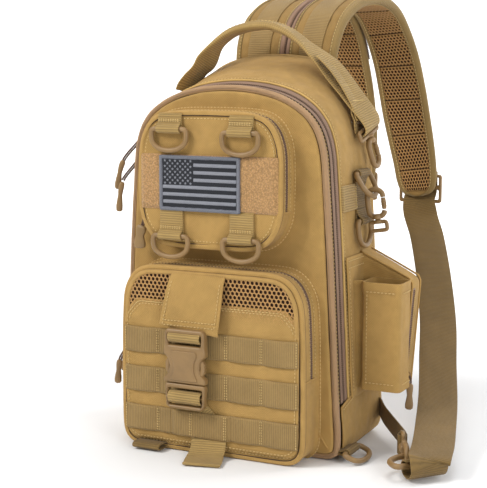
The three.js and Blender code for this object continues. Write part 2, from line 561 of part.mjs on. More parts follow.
// ---------------------------------------------------------------- right side: webbing, rings, hook
// Point on a side panel, raised by 'up'; side is +1 on the right, -1 on the left.
const onSide = (y, z, up, side = 1) => V(side * (sideX(y, z) + up), y, z);
const sideDown = (y, z, side = 1) => onSide(y, z - 10, 0, side).sub(onSide(y, z + 10, 0, side)).normalize();
const outwards = (s, side) => {
  const n = V(0, 0, 0).crossVectors(s.a, s.d).normalize();
  return n.x * side > 0 ? n : n.multiplyScalar(-1);
};
const reversed = (s) => ({ centre: s.centre, a: s.a, d: s.d.clone().multiplyScalar(-1) });
const SIDE_Y = 78;
const SIDE_RING_IN = 29;
const SIDE_UPPER_Z = 268;
const SIDE_LOWER_Z = 222;
const HOOK_TILT = 25; // the upper ring stands off the side under its hook, degrees
{
  const a = V(0, 1, 0);
  const hang = sideDown(SIDE_Y, SIDE_UPPER_Z);
  const upper = seat(onSide(SIDE_Y, SIDE_UPPER_Z, SEAT_OUT), a, hang);
  const lower = seat(onSide(SIDE_Y, SIDE_LOWER_Z, SEAT_OUT), a, sideDown(SIDE_Y, SIDE_LOWER_Z));
  const raised = { ...upper, d: hang.clone().applyAxisAngle(a, THREE.MathUtils.degToRad(-HOOK_TILT)) };
  add('ring_side_upper', ring(raised, SIDE_RING_IN, 25), 'hard');
  add('ring_side_lower', ring(lower, SIDE_RING_IN, 25), 'hard');
  // One strap sewn down the side and looped round both bars, with the cross strap running to it.
  const across = band([30.8, 44, 58, 68].map((y) => ({ p: onSide(y, 246, 1.3), w: V(-0.08, 0, 1), half: 12.7 })), WEB);
  const loopTop = ringTab(reversed(upper), outwards(upper, 1), SIDE_RING_IN - 2, 12);
  const loopLow = ringTab(lower, outwards(lower, 1), SIDE_RING_IN - 2, 12);
  const run = band([260, 250, 240, 230].map((z) => ({ p: onSide(SIDE_Y, z, 1.1), w: a, half: SIDE_RING_IN / 2 - 1 })), 1.5);
  add('side_ring_tab', join(loopTop, run, loopLow, across), 'web');
  snapHook('side', V(127.5, SIDE_Y, 212.4), V(-0.155, 0, 1), V(1, 0, 0.155), 10);
}

// ---------------------------------------------------------------- right side: pouch and sleeve
const SLEEVE = { x0: 123, x1: 163, y0: 42, y1: 74, z0: 62, z1: 167, wall: 1.8, corner: 5 };
const POUCH = { y0: 74.5, y1: 99, x1: 162, bottom: 57, outerTop: 166, innerTop: 191, wall: 2 };
{
  const S = SLEEVE;
  const level = (z, grow) => {
    const o = chamfered(S.x0 - grow, S.y0 - grow, S.x1 + grow, S.y1 + Math.min(grow, 0), Math.max(1, S.corner + grow));
    return o.map(([x, y]) => V(x, y, z));
  };
  // Round tube of cloth, open at both ends.
  const tubeRings = [level(S.z0, 0), level((S.z0 + S.z1) / 2, 0), level(S.z1, 0), level(S.z1, -S.wall), level((S.z0 + S.z1) / 2, -S.wall), level(S.z0, -S.wall)];
  add('side_sleeve', loft(tubeRings, { loop: true }), 'cloth');

  const P = POUCH;
  // Sections run outward from the side panel: lower towards the outer face, top slanting down.
  const section = (t, inset) => {
    const zTop = lerp(P.innerTop, P.outerTop, t) - inset * 1.2;
    const zLow = P.bottom + (1 - t) * -4 + inset;
    const y0 = P.y0 + inset;
    const y1 = P.y1 - inset + (1 - t) * 5;
    return (z, y) => [z, y, zTop, zLow, y0, y1];
  };
  const ringOf = (t, inset, dx) => {
    const [, , zTop, zLow, y0, y1] = section(t, inset)(0, 0);
    const c = 5;
    const pts = [[y0, zLow + 2], [y0 + 2, zLow], [y1 - c, zLow], [y1, zLow + c], [y1, zTop - c], [y1 - c, zTop], [y0 + 2, zTop], [y0, zTop - 2]];
    return pts.map(([y, z]) => {
      const x0 = sideX(y, z) + GAP + 0.2;
      return V(t === 0 ? x0 + dx : lerp(x0, P.x1 + (z - 140) * 0.07, t) + dx, y, z);
    });
  };
  const tub = loft([
    ringOf(0.9, 4, 0), ringOf(0.5, P.wall, 0), ringOf(0, P.wall, 0),
    ringOf(0, 0, 0), ringOf(0.5, 0, 0), ringOf(0.9, 0, 0), ringOf(1, 3, 0),
  ]);
  // Flat panel in front of it, sewn on the side.
  const panel = band([34, 48, 62, 78].map((y) => ({ p: onSide(y, 122, 1.5), w: V(-0.055, 0, 1), half: 68 })), 1.6);
  add('side_pouch', join(tub, panel), 'cloth');
}

// ---------------------------------------------------------------- left side: mesh pocket, ring
{
  const MESH_ROWS = [
    { z: 52, bulge: 0.8 }, { z: 60, bulge: 5 }, { z: 85, bulge: 10 }, { z: 130, bulge: 13.5 }, { z: 180, bulge: 14.5 }, { z: 222, bulge: 13 },
  ];
  const across = [31.5, 38, 50, 66, 84, 102, 112, 117.5];
  const shape = [0, 0.35, 0.66, 0.88, 1, 0.9, 0.55, 0];
  const sheet = (extra) => MESH_ROWS.map((r) => across.map((y, j) => onSide(Math.min(y, 116), r.z, 0.7 + extra + r.bulge * shape[j], -1).setY(y)));
  const inner = sheet(0);
  const outer = sheet(1.7);
  add('mesh_pocket', loft(inner.map((row, i) => [...row, ...outer[i].slice().reverse()])), 'mesh');

  const a = V(0, 1, 0);
  const s = seat(onSide(SIDE_Y + 8, 288, SEAT_OUT, -1), a, sideDown(SIDE_Y + 8, 288, -1));
  add('ring_left', ring(s, SIDE_RING_IN, 25), 'hard');
  add('tab_left', ringTab(s, outwards(s, -1), SIDE_RING_IN - 2, 14), 'web');
}

// ---------------------------------------------------------------- shoulder straps
const strapCurve = (key) => STRAP_ROWS.map((r) => V(r[key], r.y, r.z));
function strapFrame(key, row) {
  const pts = strapCurve(key);
  const i = Math.min(pts.length - 2, Math.floor(row));
  const f = row - i;
  const p = pts[i].clone().lerp(pts[i + 1], f);
  const t = pts[i + 1].clone().sub(pts[i]).normalize();
  const w = V(1, 0, 0).addScaledVector(t, -t.x).normalize();
  const n = V(0, 0, 0).crossVectors(w, t).normalize(); // points to the outer, upper face
  if (n.y + n.z < 0) n.multiplyScalar(-1);
  return { p, t, w, n, thick: lerp(STRAP_ROWS[i].thick, STRAP_ROWS[i + 1].thick, f) };
}
function strapPad(key) {
  const pts = strapCurve(key);
  return loft(pts.map((p, i) => {
    const a = pts[Math.max(0, i - 1)];
    const b = pts[Math.min(pts.length - 1, i + 1)];
    const t = b.clone().sub(a).normalize();
    const w = V(1, 0, 0).addScaledVector(t, -t.x).normalize();
    const n = V(0, 0, 0).crossVectors(w, t).normalize();
    const { half, thick } = STRAP_ROWS[i];
    const h = thick / 2;
    const put = (c, f) => p.clone().addScaledVector(w, c).addScaledVector(n, f);
    return [
      put(-half, -1.6), put(-half + 4, -h * 0.8), put(-half * 0.4, -h), put(half * 0.4, -h), put(half - 4, -h * 0.8), put(half, -1.6),
      put(half, 1.6), put(half - 4, h * 0.8), put(half * 0.4, h), put(-half * 0.4, h), put(-half + 4, h * 0.8), put(-half, 1.6),
    ];
  }));
}
for (const [side, key] of [['right', 'x'], ['left', 'xl']]) {
  const loops = [];
  for (const at of STRAP_RING_AT) {
    const f = strapFrame(key, at.row);
    const s = seat(f.p.clone().addScaledVector(f.n, f.thick / 2 + SEAT_OUT), f.w, f.t);
    add(`ring_${side}_strap_${at.name}`, ring(s, 30, 24), 'hard');
    const lower = { ...s, centre: s.centre.clone().addScaledVector(f.n, -GAP - 0.6) };
    // The loop's tail is sunk in the pad, so that pad and loop are one sewn piece.
    loops.push(ringTab(s, f.n, 25, 12), band([
      { p: lower.centre.clone().addScaledVector(f.n, -3.6).addScaledVector(f.t, -11), w: f.w, half: 12.5 },
      { p: lower.centre.clone().addScaledVector(f.n, -3.6).addScaledVector(f.t, -6), w: f.w, half: 12.5 },
    ], 1.6));
  }
  add(`strap_${side}`, join(strapPad(key), ...loops), 'cloth');
}

// ---------------------------------------------------------------- ladder locks, lower webbing, floor hardware
const LOCK = { z: 226, half: 26, rise: 17, y: 362.2, thick: 5 };

// Stations of a twisting webbing with the twist shared out in small steps, so its two faces never cross.
function eased(stations, step = 0.03) {
  return stations.flatMap((s, i) => {
    const next = stations[i + 1];
    if (!next) return [s];
    const from = s.w.clone().normalize();
    const to = next.w.clone().normalize();
    const count = Math.max(1, Math.ceil(from.angleTo(to) / step));
    return Array.from({ length: count }, (_, k) => (k === 0 ? s : { p: s.p.clone().lerp(next.p, k / count), w: from.clone().lerp(to, k / count), half: s.half }));
  });
}
const LOWER = {
  right: {
    lockX: 72, bar: V(204, -8, 13), a: V(0.64, 0.77, 0), eye: V(158, 60, 15),
    route: [[80, 346, 193, 0.93, 0.37], [93, 328, 175, 0.92, 0.38], [113, 288, 149, 0.9, 0.43], [131, 248, 123, 0.88, 0.47],
      [149, 203, 96, 0.83, 0.55], [165, 155, 70, 0.76, 0.65], [182, 104, 46, 0.7, 0.71], [196, 55, 32, 0.66, 0.75], [206, 18, 25, 0.65, 0.76]],
  },
  left: {
    lockX: -8.5, bar: V(-131, 212, 13), a: V(0.994, 0.11, 0), eye: V(-122, 140, 15),
    route: [[-13, 349, 194, 0.93, -0.37], [-24, 338, 180, 0.85, -0.52], [-46, 315, 152, 0.8, -0.6], [-70, 289, 122, 0.8, -0.6],
      [-92, 264, 92, 0.84, -0.54], [-110, 243, 64, 0.92, -0.38], [-122, 229, 44, 0.97, -0.2]],
  },
};
for (const [side, L] of Object.entries(LOWER)) {
  const x = L.lockX;
  const bars = (z0, z1) => rect(x - 23, z0, x + 23, z1);
  add(`ladder_lock_${side}`, plate(
    shapeOf(chamfered(x - LOCK.half, LOCK.z - LOCK.rise, x + LOCK.half, LOCK.z + LOCK.rise, 3), [bars(213, 225), bars(230, 239.5)]),
    LOCK.thick, V(0, LOCK.y + LOCK.thick, 0), V(1, 0, 0), V(0, 0, 1)), 'hard');

  const d = V(0, 0, 1).cross(L.a).normalize();          // horizontal, square to the end ring's bar
  if (d.dot(L.eye.clone().sub(L.bar)) < 0) d.multiplyScalar(-1);
  const s = seat(L.bar, L.a, d.clone().setZ(-0.02));
  add(`end_ring_${side}`, ring(s, 46, 28, 2.3), 'hard');
  const away = (k, z) => L.bar.clone().addScaledVector(d, -k).setZ(z);
  const half = 19.5;
  const flat = V(1, 0, 0);
  const stations = [
    { p: V(x, 369.2, 244), w: flat, half }, { p: V(x, 369.2, 232), w: flat, half }, { p: V(x, 369.1, 227.4), w: flat, half },
    { p: V(x, 366.3, 220.6), w: flat, half }, { p: V(x + 0.4 * Math.sign(x), 361.2, 213.9 + 2.6), w: flat, half }, { p: V(x + 1.2 * Math.sign(x), 355.5, 208), w: flat, half },
    ...L.route.map(([px, py, pz, wx, wy]) => ({ p: V(px, py, pz), w: V(wx, wy, 0), half })),
    { p: away(12, 20), w: L.a, half }, { p: away(13.4, 12.4), w: L.a, half }, { p: away(10.6, 5.4), w: L.a, half },
    { p: away(5, 3), w: L.a, half }, { p: away(-1, 5.4), w: L.a, half }, { p: away(-5, 9.6), w: L.a, half },
    { p: away(-5.2, 14.6), w: L.a, half }, { p: away(-2, 18), w: L.a, half }, { p: away(3.2, 17.6), w: L.a, half },
  ];
  add(`lower_webbing_${side}`, band(eased(stations), 1.6), 'web');

  // Hook from the corner tab to the end ring, standing on edge.
  const apex = L.bar.clone().addScaledVector(d, 28).setZ(12.4);
  const dir = apex.clone().sub(L.eye);
  dir.z = 0;
  dir.normalize();
  const reach = HOOK.loopEnd - HOOK.wire - 1.7 - RING_GAP - 4.4;
  const eye = apex.clone().addScaledVector(dir, -reach).setZ(14.2);
  const down = apex.clone().setZ(12.4).sub(eye).normalize();
  snapHook(`floor_${side}`, eye, down, V(0, 0, 1), 13.6);
  // Corner tab: sewn in the rear corner seam, round the hook's eye and back on itself.
  const across = V(0, 0, 1).cross(dir).normalize();
  if (across.y < 0) across.multiplyScalar(-1);
  const near = (along, off, z) => eye.clone().addScaledVector(dir, along).addScaledVector(across, off).setZ(z);
  const corner = side === 'right'
    ? [V(115.4, 113, 27), V(119.6, 109.5, 26.6), V(132, 92, 23)]
    : [V(-115.2, 112, 22), V(-118.2, 118.5, 21), V(-119.6, 122, 20)];
  const tab = band([
    ...corner, near(-13, 1.2, 16), near(-5, 3.2, 14.8), near(-1, 3.9, 14.4), near(3.2, 3.4, 14.2), near(4.4, 0, 14.2), near(3.2, -3.4, 14.2), near(-1, -3.9, 14.4), near(-6, -2, 14.8), near(-12, -0.9, 15.6),
  ].map((p) => ({ p, w: V(0, 0, 1), half: 9.6 })), 1.5);
  rearParts.push(tab);
}
add('rear_shell', join(...rearParts), 'cloth');

// ---------------------------------------------------------------- ring at the foot of the right side
{
  const s = seat(V(125.2, 16, 8.6), V(0, 1, 0), V(1, 0, -0.38));
  const up = V(0.38, 0, 1).normalize();
  add('bottom_ring', ring(s, 32, 17), 'hard');
  add('bottom_tab', ringTab(s, up, 27, 7.5), 'web');
}

// ---------------------------------------------------------------- zip pulls
// Slider, doubled cord and moulded end in one piece; one row per section, half sizes across and along y.
function pull(name, rows) {
  add(name, loft(rows.map((r) => circle(0, 0, 1, 8, Math.PI / 8).map(([u, v]) => V(r.x + u * r.hx, r.y + v * r.hy, r.z)))), 'hard');
}
// A slider lies on the zip just off the cloth at the left: x from the side panel.
const slider = (y, z, hx, hy) => ({ x: -(sideX(y, z) + hx + 0.1), y, z, hx, hy });
pull('main_pull_rear', [
  slider(20.6, 311, 1, 2.4), slider(20.6, 306, 2, 4), slider(20.2, 300, 1.7, 3),
  { x: -109, y: 17, z: 293, hx: 1.4, hy: 2.4 }, { x: -116.6, y: 12, z: 283.5, hx: 1.5, hy: 2.4 }, { x: -120.6, y: 9.8, z: 277.5, hx: 2.6, hy: 3.2 },
  { x: -123.6, y: 8.4, z: 268, hx: 2.4, hy: 3 }, { x: -125.8, y: 7.4, z: 252, hx: 3.2, hy: 4.2 }, { x: -126, y: 7.2, z: 247, hx: 2.4, hy: 3.2 },
]);
pull('main_pull_front', [
  slider(20.6, 292, 1, 2.4), slider(20.6, 287, 2, 4), slider(20, 281, 1.7, 3),
  { x: -110, y: 13, z: 272, hx: 1.4, hy: 2.4 }, { x: -116.4, y: 6.6, z: 261.5, hx: 1.5, hy: 2.4 }, { x: -119, y: 4.4, z: 255.5, hx: 2.6, hy: 3.2 },
  { x: -120.4, y: 3.2, z: 246, hx: 2.4, hy: 3 }, { x: -121.6, y: 2.4, z: 230, hx: 3.2, hy: 4.2 }, { x: -121.6, y: 2.2, z: 225, hx: 2.4, hy: 3.2 },
]);
pull('upper_pull', [
  { x: -81.6, y: -12, z: 228, hx: 1.2, hy: 2.6 }, { x: -82.2, y: -12, z: 224, hx: 2, hy: 4 }, { x: -84, y: -12.4, z: 218.5, hx: 2, hy: 3 },
  { x: -87, y: -13, z: 213, hx: 3.4, hy: 1.8 }, { x: -88.6, y: -13.4, z: 206, hx: 4.4, hy: 1.8 }, { x: -88.8, y: -13.6, z: 196, hx: 7, hy: 2 }, { x: -88.8, y: -13.6, z: 192.5, hx: 6.2, hy: 1.6 },
]);
pull('lower_pull', [
  { x: -99.2, y: -16, z: 106, hx: 1.2, hy: 2.6 }, { x: -100, y: -16, z: 101, hx: 2, hy: 4 }, { x: -102, y: -16, z: 94.6, hx: 1.7, hy: 3 },
  { x: -106.4, y: -16.6, z: 88, hx: 1.5, hy: 2.4 }, { x: -110.4, y: -17.2, z: 81, hx: 2.2, hy: 3 }, { x: -112, y: -17.6, z: 74, hx: 2.6, hy: 3.4 },
  { x: -113.2, y: -18, z: 58, hx: 3.2, hy: 4.2 }, { x: -113.2, y: -18, z: 54, hx: 2.4, hy: 3.2 },
]);

bag.position.y = -BASE_MIDDLE;

export default bag;
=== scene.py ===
# Tackle sling pack: the fine surface of every piece, around the fixed construction.
# Lengths are in millimetres, with y counted from the main body's front face, as in the part's tables.
import math

import bpy
import bmesh
import numpy as np
from mathutils import Matrix, Vector, noise


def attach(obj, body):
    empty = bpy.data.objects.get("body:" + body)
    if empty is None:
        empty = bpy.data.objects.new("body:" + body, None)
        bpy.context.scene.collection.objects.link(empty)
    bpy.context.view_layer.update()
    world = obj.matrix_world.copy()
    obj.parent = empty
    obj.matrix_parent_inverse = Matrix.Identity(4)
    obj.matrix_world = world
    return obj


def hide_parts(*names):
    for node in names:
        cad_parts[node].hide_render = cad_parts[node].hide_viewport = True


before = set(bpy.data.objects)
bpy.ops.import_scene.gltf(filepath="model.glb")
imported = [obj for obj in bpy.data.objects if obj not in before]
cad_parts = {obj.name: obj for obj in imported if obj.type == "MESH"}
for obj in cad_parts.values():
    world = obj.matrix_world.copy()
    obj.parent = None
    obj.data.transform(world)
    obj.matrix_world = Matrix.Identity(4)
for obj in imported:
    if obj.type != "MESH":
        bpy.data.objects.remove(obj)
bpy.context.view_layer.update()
BASE_MIDDLE = 60.0
V = lambda *a: np.array(a, float)


def unit(v):
    v = np.asarray(v, float)
    return v / max(1e-12, float(np.linalg.norm(v)))


# ------------------------------------------------------------------ colours and materials
def srgb(r, g, b):
    f = lambda c: (c / 255 / 12.92) if c <= 10 else ((c / 255 + 0.055) / 1.055) ** 2.4
    return (f(r), f(g), f(b), 1.0)


class Nodes:
    """Small helper around a material's node tree."""

    def __init__(self, name):
        self.mat = bpy.data.materials.new(name)
        self.mat.use_nodes = True
        self.t = self.mat.node_tree
        self.t.nodes.clear()
        self.out = self.t.nodes.new("ShaderNodeOutputMaterial")
        self.bsdf = self.t.nodes.new("ShaderNodeBsdfPrincipled")
        self.t.links.new(self.bsdf.outputs[0], self.out.inputs[0])

    def new(self, kind, **props):
        n = self.t.nodes.new(kind)
        for k, v in props.items():
            setattr(n, k, v)
        return n

    def link(self, a, b):
        self.t.links.new(a, b)

    def math(self, op, a, b=None, clamp=False):
        n = self.new("ShaderNodeMath", operation=op)
        n.use_clamp = clamp
        for i, x in enumerate((a, b)):
            if x is None:
                continue
            if isinstance(x, (int, float)):
                n.inputs[i].default_value = x
            else:
                self.link(x, n.inputs[i])
        return n.outputs[0]

    def uv(self):
        m = self.new("ShaderNodeUVMap")
        m.uv_map = "mm"
        s = self.new("ShaderNodeSeparateXYZ")
        self.link(m.outputs[0], s.inputs[0])
        return s.outputs[0], s.outputs[1]

    def wave(self, x, pitch, phase=0.0):
        return self.math("SINE", self.math("MULTIPLY_ADD", x, 2 * math.pi / pitch) if False else self.math("ADD", self.math("MULTIPLY", x, 2 * math.pi / pitch), phase))

    def noise(self, scale, detail=3.0, rough=0.55):
        c = self.new("ShaderNodeTexCoord")
        n = self.new("ShaderNodeTexNoise")
        n.inputs["Scale"].default_value = scale
        n.inputs["Detail"].default_value = detail
        n.inputs["Roughness"].default_value = rough
        self.link(c.outputs["Object"], n.inputs["Vector"])
        return n.outputs["Fac"] if "Fac" in n.outputs else n.outputs[0]

    def remap(self, x, a, b, c, d):
        n = self.new("ShaderNodeMapRange")
        n.inputs["From Min"].default_value = a
        n.inputs["From Max"].default_value = b
        n.inputs["To Min"].default_value = c
        n.inputs["To Max"].default_value = d
        self.link(x, n.inputs["Value"])
        return n.outputs[0]

    def mix(self, fac, a, b):
        n = self.new("ShaderNodeMix", data_type="RGBA", blend_type="MIX")
        if isinstance(fac, (int, float)):
            n.inputs[0].default_value = fac
        else:
            self.link(fac, n.inputs[0])
        for i, x in ((6, a), (7, b)):
            if isinstance(x, tuple):
                n.inputs[i].default_value = x
            else:
                self.link(x, n.inputs[i])
        return n.outputs[2]

    def bumps(self, *layers):
        normal = None
        for height, distance, strength in layers:
            b = self.new("ShaderNodeBump")
            b.inputs["Strength"].default_value = strength
            b.inputs["Distance"].default_value = distance
            self.link(height, b.inputs["Height"])
            if normal is not None:
                self.link(normal, b.inputs["Normal"])
            normal = b.outputs[0]
        self.link(normal, self.bsdf.inputs["Normal"])

    def set(self, **kw):
        for k, v in kw.items():
            self.bsdf.inputs[k.replace("_", " ")].default_value = v


def scaled(c, k):
    return (min(1, c[0] * k), min(1, c[1] * k), min(1, c[2] * k), 1.0)


def cloth_material(name, colour, pitch=1.15, light=1.16, dark=0.8, bump=0.00022, wear=0.22):
    """Plain-woven coated cloth: weave, mottling, faint creases, paler worn edges, and painted shade darkening the
    hollows.
    """
    m = Nodes(name)
    u, v = m.uv()
    weave = m.math("MULTIPLY", m.wave(u, pitch * 2), m.wave(v, pitch * 2))
    slub = m.noise(900, 2)
    big = m.noise(22, 4, 0.6)
    mid = m.noise(120, 3)
    tone = m.math("ADD", m.math("MULTIPLY", big, 0.6), m.math("MULTIPLY", mid, 0.4))
    base = m.mix(m.remap(tone, 0.34, 0.68, 0, 1), scaled(colour, dark), scaled(colour, light))
    weft = m.mix(m.remap(weave, -1, 1, 0, 1), scaled(colour, 0.72), scaled(colour, 1.18))
    base = m.mix(0.34, base, weft)
    geo = m.new("ShaderNodeNewGeometry")
    edge = m.remap(geo.outputs["Pointiness"], 0.52, 0.62, 0, wear)
    # painted shade: concave hollows darkened towards 0.42 of the colour
    painted_hollow_shade = m.remap(geo.outputs["Pointiness"], 0.48, 0.40, 0, 0.5)
    base = m.mix(edge, base, scaled(colour, 1.6))
    base = m.mix(painted_hollow_shade, base, scaled(colour, 0.42))
    m.link(base, m.bsdf.inputs["Base Color"])
    m.link(m.remap(slub, 0.3, 0.7, 0.78, 0.95), m.bsdf.inputs["Roughness"])
    m.set(Sheen_Weight=0.06, Sheen_Roughness=0.5, Specular_IOR_Level=0.22)
    crease = m.noise(11, 3, 1.6)
    m.bumps((weave, bump, 0.7), (mid, 0.0007, 0.4), (big, 0.005, 0.3), (crease, 0.011, 0.3))
    return m.mat


def webbing_material(name, colour, pitch=1.7, along="v", groove_shade=0.55):
    """Ribbed webbing: ribs across the strap, fine herringbone along it, with painted shade in the grooves and painted
    light on the rib crests.
    """
    m = Nodes(name)
    u, v = m.uv()
    if along == "u":
        u, v = v, u
    rib = m.math("ABSOLUTE", m.wave(v, pitch * 2))
    cross = m.wave(u, 1.15)
    height = m.math("ADD", m.math("MULTIPLY", rib, 0.75), m.math("MULTIPLY", cross, 0.22))
    big = m.noise(40, 3)
    fine = m.noise(700, 2)
    # painted light and shade across the ribs: crests lighter, grooves darker
    base = m.mix(m.remap(height, 0.0, 0.8, 0, 1), scaled(colour, 1 - groove_shade), scaled(colour, 1.15))
    tone = m.mix(m.remap(big, 0.3, 0.7, 0, 1), scaled(colour, 0.8), scaled(colour, 1.12))
    base = m.mix(0.45, base, tone)
    geo = m.new("ShaderNodeNewGeometry")
    base = m.mix(m.remap(geo.outputs["Pointiness"], 0.53, 0.63, 0, 0.3), base, scaled(colour, 1.6))
    m.link(base, m.bsdf.inputs["Base Color"])
    m.link(m.remap(fine, 0.3, 0.7, 0.66, 0.88), m.bsdf.inputs["Roughness"])
    m.set(Sheen_Weight=0.1, Sheen_Roughness=0.45, Specular_IOR_Level=0.35)
    m.bumps((height, 0.00055, 0.85), (fine, 0.0002, 0.4))
    return m.mat


def moulded_material(name, colour, rough=0.42):
    """Satin moulded plastic with a fine spark texture and scuffed edges."""
    m = Nodes(name)
    fine = m.noise(1500, 2)
    big = m.noise(60, 4)
    geo = m.new("ShaderNodeNewGeometry")
    base = m.mix(m.remap(big, 0.35, 0.65, 0, 1), scaled(colour, 0.9), scaled(colour, 1.1))
    base = m.mix(m.remap(geo.outputs["Pointiness"], 0.52, 0.6, 0, 0.35), base, scaled(colour, 1.5))
    m.link(base, m.bsdf.inputs["Base Color"])
    m.link(m.remap(big, 0.3, 0.7, rough - 0.06, rough + 0.12), m.bsdf.inputs["Roughness"])
    m.set(Specular_IOR_Level=0.45, Coat_Weight=0.06, Coat_Roughness=0.4)
    m.bumps((fine, 0.00012, 0.35), (big, 0.0008, 0.15))
    return m.mat


def pile_material(name, colour):
    """Loop pile: a felted mass of fine loops, with painted shade darkening the pits between them."""
    m = Nodes(name)
    fuzz = m.noise(1300, 6, 0.75)
    clump = m.noise(420, 4, 0.7)
    big = m.noise(60, 3)
    vor = m.new("ShaderNodeTexVoronoi")
    c = m.new("ShaderNodeTexCoord")
    vor.inputs["Scale"].default_value = 620
    m.link(c.outputs["Object"], vor.inputs["Vector"])
    h = m.math("ADD", m.math("MULTIPLY", fuzz, 0.6), m.math("ADD", m.math("MULTIPLY", clump, 0.5), m.math("MULTIPLY", vor.outputs["Distance"], -0.5)))
    # painted shade: the pits between loops darkened to half the colour
    base = m.mix(m.remap(h, 0.18, 0.62, 0, 1), scaled(colour, 0.5), scaled(colour, 1.12))
    base = m.mix(m.remap(big, 0.3, 0.7, 0, 0.3), base, scaled(colour, 0.85))
    m.link(base, m.bsdf.inputs["Base Color"])
    m.set(Roughness=0.97, Sheen_Weight=0.35, Sheen_Roughness=0.4, Specular_IOR_Level=0.1)
    m.bumps((h, 0.0016, 1.0))
    return m.mat


def thread_material(name, colour, dark=0.6):
    m = Nodes(name)
    u, v = m.uv()
    h = m.wave(m.math("ADD", u, v), 1.0)
    n = m.noise(500, 2)
    base = m.mix(m.remap(h, -1, 1, 0, 1), scaled(colour, dark), scaled(colour, 1.15))
    base = m.mix(m.remap(n, 0.3, 0.7, 0, 0.5), base, scaled(colour, 0.8))
    m.link(base, m.bsdf.inputs["Base Color"])
    m.set(Roughness=0.8, Sheen_Weight=0.1, Specular_IOR_Level=0.3)
    m.bumps((h, 0.00018, 0.6), (n, 0.0002, 0.3))
    return m.mat


TAN = srgb(172, 137, 79)
WELT = None
CLOTH = cloth_material("coyote_cloth", TAN)
CLOTH_FOLD = cloth_material("coyote_binding", srgb(176, 140, 82), pitch=0.9, wear=0.3)
PIPING = cloth_material("piping_yellow", srgb(200, 164, 98), pitch=0.8, wear=0.2)
WELT = webbing_material("zip_welt", srgb(180, 143, 104), pitch=0.9, along="v", groove_shade=0.22)
# dark tubes laid in seams as painted seam shadow
GROOVE_SHADOW = thread_material("seam_shadow", srgb(70, 48, 28), dark=0.7)
CLOTH_DARK = cloth_material("strap_cloth", srgb(150, 119, 69))
WEB = webbing_material("webbing_tan", srgb(170, 140, 84), pitch=2.3, groove_shade=0.7)
WEB_ACROSS = webbing_material("webbing_tan_run", srgb(168, 138, 84), pitch=2.4, along="u", groove_shade=0.75)
WEB_ROW = webbing_material("webbing_row", srgb(158, 129, 79), pitch=1.9, along="v", groove_shade=0.72)
WEB_OLIVE = webbing_material("webbing_olive", srgb(126, 100, 55), pitch=2.2, groove_shade=0.66)
BINDING = webbing_material("binding_tape", srgb(150, 123, 72), pitch=1.1, groove_shade=0.4)
TAPE = webbing_material("zip_tape", srgb(150, 118, 94), pitch=1.3, groove_shade=0.45)
COIL = thread_material("zip_coil", srgb(112, 86, 68))
PILE = pile_material("loop_pile", srgb(212, 166, 112))
HARD = moulded_material("moulded_tan", srgb(136, 107, 67))
HARD_DARK = moulded_material("moulded_shade", srgb(138, 110, 68))
NET = thread_material("net_thread", srgb(214, 166, 104), dark=0.6)
# dark floor of the net holes: painted shade
NET_SHADE = cloth_material("net_painted_shade", srgb(58, 36, 20), light=1.3, dark=0.6, wear=0)
NET_BROWN = thread_material("net_thread_brown", srgb(166, 124, 76), dark=0.6)
STITCH = thread_material("sewing_thread", srgb(212, 182, 122), dark=0.85)
STITCH_DARK = thread_material("sewing_thread_dark", srgb(120, 92, 50), dark=0.8)
PATCH_DARK = thread_material("patch_dark", srgb(34, 36, 42), dark=0.7)
PATCH_GREY = thread_material("patch_grey", srgb(142, 144, 152), dark=0.75)
PATCH_EDGE = thread_material("patch_edge", srgb(116, 118, 128), dark=0.7)


# ------------------------------------------------------------------ curves and skins
def smooth(pts, per=6, closed=False):
    """Catmull-Rom through points of any dimension."""
    pts = np.asarray(pts, float)
    n = len(pts)
    out = []
    rng = range(n if closed else n - 1)
    for i in rng:
        if closed:
            p0, p1, p2, p3 = pts[(i - 1) % n], pts[i], pts[(i + 1) % n], pts[(i + 2) % n]
        else:
            p1, p2 = pts[i], pts[i + 1]
            p0 = pts[i - 1] if i > 0 else 2 * p1 - p2
            p3 = pts[i + 2] if i + 2 < n else 2 * p2 - p1
        for k in range(per):
            t = k / per
            out.append(0.5 * ((2 * p1) + (-p0 + p2) * t + (2 * p0 - 5 * p1 + 4 * p2 - p3) * t * t + (-p0 + 3 * p1 - 3 * p2 + p3) * t ** 3))
    if not closed:
        out.append(pts[-1])
    return np.array(out)


def lengths(pts):
    pts = np.asarray(pts, float)
    return np.concatenate([[0], np.cumsum(np.linalg.norm(np.diff(pts, axis=0), axis=1))])


def resample(pts, step=None, count=None, dims=3):
    pts = np.asarray(pts, float)
    s = lengths(pts[:, :dims])
    n = count if count else max(2, int(round(s[-1] / step)) + 1)
    q = np.linspace(0, s[-1], n)
    return np.stack([np.interp(q, s, pts[:, k]) for k in range(pts.shape[1])], axis=1)


def ripple(p, freq, seed=0.0):
    return noise.noise(Vector((p[0] * freq + seed, p[1] * freq + seed * 1.7, p[2] * freq - seed)))


